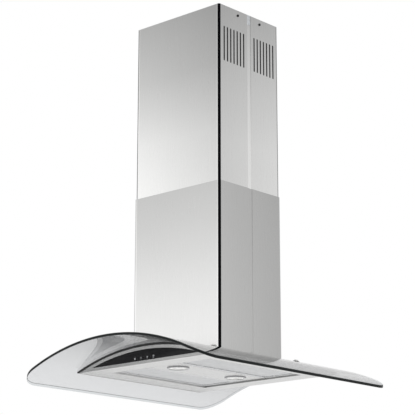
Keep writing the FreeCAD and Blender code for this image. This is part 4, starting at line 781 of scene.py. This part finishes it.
lens_finish, shader = new_finish("Ribbed lamp glass", 0.25)
shader.inputs["Transmission Weight"].default_value = 0.25
shader.inputs["IOR"].default_value = 1.45
glow = speckle(lens_finish, 90.0)
warm = shaded(lens_finish, (0.97, 0.965, 0.95), rescale(lens_finish, glow, 0.35, 0.6, 0.6, 1.0))
wire(lens_finish, warm, shader.inputs["Base Color"])
wire(lens_finish, warm, shader.inputs["Emission Color"])
shader.inputs["Emission Strength"].default_value = 0.2
for end in ("front", "rear"):
    low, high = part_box(f"lamp_lens_{end}")
    reach = (high.x - low.x) / 2
    ribs = [(reach * (1 - i / RINGS), low.z + DOME - DOME * math.cos(math.pi * i / (2 * RINGS)) + (i % 2) * RIB)
            for i in range(RINGS + 1)]
    lens = turned(f"lens_{end}", [(0, high.z), (reach, high.z)] + ribs, (low + high) / 2)
    lens.data.materials.append(lens_finish)
    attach(lens, "hood")
    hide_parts(f"lamp_lens_{end}")
    print(lens.name, "radius", round(reach, 4), "m")

# %% [markdown]
# ## Softened edges
# No real edge is perfectly sharp: folded, moulded and turned parts all catch a thin line of light. The CAD meshes
# come with split corners, so a Weld modifier joins them first, and a Bevel modifier then rounds every edge that is
# steep enough. Modifiers leave the CAD mesh itself as it is.

# %% Bevels
def soften(width, *names):
    for name in names:
        weld = parts[name].modifiers.new("weld", "WELD")
        weld.merge_threshold = 0.00001
        round_over = parts[name].modifiers.new("edge", "BEVEL")
        round_over.width, round_over.segments = width, 2
        round_over.limit_method, round_over.angle_limit = "ANGLE", math.radians(50)
    print("edges of", width * 1000, "mm on", ", ".join(names))


soften(0.0004, "key_power", "key_slower", "key_faster", "key_light", "filter_latch_left", "filter_latch_right")
soften(0.0005, "filter_frame_left", "filter_frame_right")
soften(0.001, "power_box", "led_driver")

# %% [markdown]
# ## Light
# The hood hangs in a white studio. Metal shows only what surrounds it, so the surroundings matter more than the
# lamps: bright round the horizon, dimmer overhead, brighter on the left, which gives each wall its own shade.
# The camera itself, and light that has passed through the glass, see plain white instead. Two large soft lamps add a
# gentle direction for the plastics; they stay out of reflections, or they would draw bright squares on the steel.

# %% Surroundings
world = bpy.data.worlds.new("Studio")
bpy.context.scene.world = world
world.use_nodes = True
scene_light = world.node_tree.nodes["Background"]
way = node(world, "ShaderNodeTexCoord").outputs["Generated"]
split = node(world, "ShaderNodeSeparateXYZ", Vector=way)
# from straight down, 0, through the horizon, 0.5, to straight up, 1
LEVELS = [(0.0, 0.95), (0.5, 1.0), (0.56, 1.02), (0.64, 0.9), (0.74, 0.72), (0.88, 0.7), (1.0, 0.8)]
band = grey_ramp(world, rescale(world, split.outputs["Z"], -1.0, 1.0, 0.0, 1.0), LEVELS)
leftward = maths(world, "ADD", maths(world, "MULTIPLY", split.outputs["X"], -0.7),
                 maths(world, "MULTIPLY", split.outputs["Y"], -0.7))
strength = rescale(world, leftward, -1.0, 1.0, 0.82, 1.06)
wire(world, band, scene_light.inputs["Color"])
wire(world, strength, scene_light.inputs["Strength"])
plain_white = node(world, "ShaderNodeBackground", Color=(1.0, 1.0, 1.0, 1.0), Strength=1.0)
path = node(world, "ShaderNodeLightPath")
direct = maths(world, "MAXIMUM", path.outputs["Is Camera Ray"], path.outputs["Is Transmission Ray"])
choose(world, direct, scene_light.outputs["Background"], plain_white.outputs["Background"], "World Output")
print("surroundings:", len(world.node_tree.nodes), "nodes")

# %% Lamps
AIM = Vector((0, 0, -0.8))


def soft_lamp(name, place, size, power):
    lamp = bpy.data.lights.new(name, "AREA")
    lamp.size, lamp.energy = size, power
    stand = placed(name, lamp)
    stand.location = place
    stand.rotation_euler = (AIM - Vector(place)).to_track_quat("-Z", "Y").to_euler()
    stand.visible_camera = stand.visible_glossy = stand.visible_transmission = False
    print(name, power, "W,", size, "m wide")


soft_lamp("Left soft lamp", (-3.2, -4.0, 1.2), 3.0, 90)
soft_lamp("Right soft lamp", (4.0, 1.5, 0.8), 3.0, 40)

# %% [markdown]
# ## Floor
# A pale floor lies well below the hood and catches its soft shadow. It gives a little light of its own to
# reflections, so that the steel underside mirrors a bright floor, and it vanishes when seen from below.

# %% Floor
FLOOR_Z, FLOOR_HALF = -2.9, 60
floor_mesh = bpy.data.meshes.new("floor")
corners = [(FLOOR_HALF * a, FLOOR_HALF * b, FLOOR_Z) for a, b in ((-1, -1), (1, -1), (1, 1), (-1, 1))]
floor_mesh.from_pydata(corners, [], [(0, 1, 2, 3)])
ground = placed("floor", floor_mesh)
pale_floor, shader = new_finish("Pale floor", 0.9)
shader.inputs["Specular IOR Level"].default_value = 0.1
cloud = speckle(pale_floor, 0.8)
tone = shaded(pale_floor, (0.86, 0.86, 0.86), spread(pale_floor, cloud, 0.985, 1.015))
wire(pale_floor, tone, shader.inputs["Base Color"])
shader.inputs["Emission Color"].default_value = (1.0, 1.0, 1.0, 1.0)
path = node(pale_floor, "ShaderNodeLightPath")
seen = maths(pale_floor, "MAXIMUM", path.outputs["Is Camera Ray"],
             maths(pale_floor, "MAXIMUM", path.outputs["Is Glossy Ray"], path.outputs["Is Transmission Ray"]))
wire(pale_floor, maths(pale_floor, "MULTIPLY", seen, 0.3), shader.inputs["Emission Strength"])
gone = node(pale_floor, "ShaderNodeBsdfTransparent", Color=(1.0, 1.0, 1.0, 1.0))
under_side = node(pale_floor, "ShaderNodeNewGeometry").outputs["Backfacing"]
choose(pale_floor, under_side, shader.outputs["BSDF"], gone.outputs["BSDF"])
floor_mesh.materials.append(pale_floor)
print("floor at z", FLOOR_Z, "m")

# %% [markdown]
# ## Camera
# The photograph was taken from below and from the front right, with a long lens. Place and direction were worked out
# from the picture's straight edges; the lens is the focal length in pixels turned into millimetres on a 36 mm sensor.

# %% Camera
FOCAL_PIXELS, PICTURE_PIXELS = 1593.08, 415
LOOKS_UP, LOOKS_LEFT = math.radians(14.77), math.radians(42.13)
optics = bpy.data.cameras.new("Camera")
optics.sensor_width = 36.0
optics.lens = FOCAL_PIXELS / PICTURE_PIXELS * optics.sensor_width
camera = placed("Camera", optics)
camera.location = (3.3504, -3.7032, -1.9342)
camera.rotation_euler = (math.radians(90) + LOOKS_UP, 0.0, LOOKS_LEFT)
bpy.context.scene.camera = camera
bpy.context.scene.view_settings.view_transform = "Standard"
print("camera lens", round(optics.lens, 1), "mm")
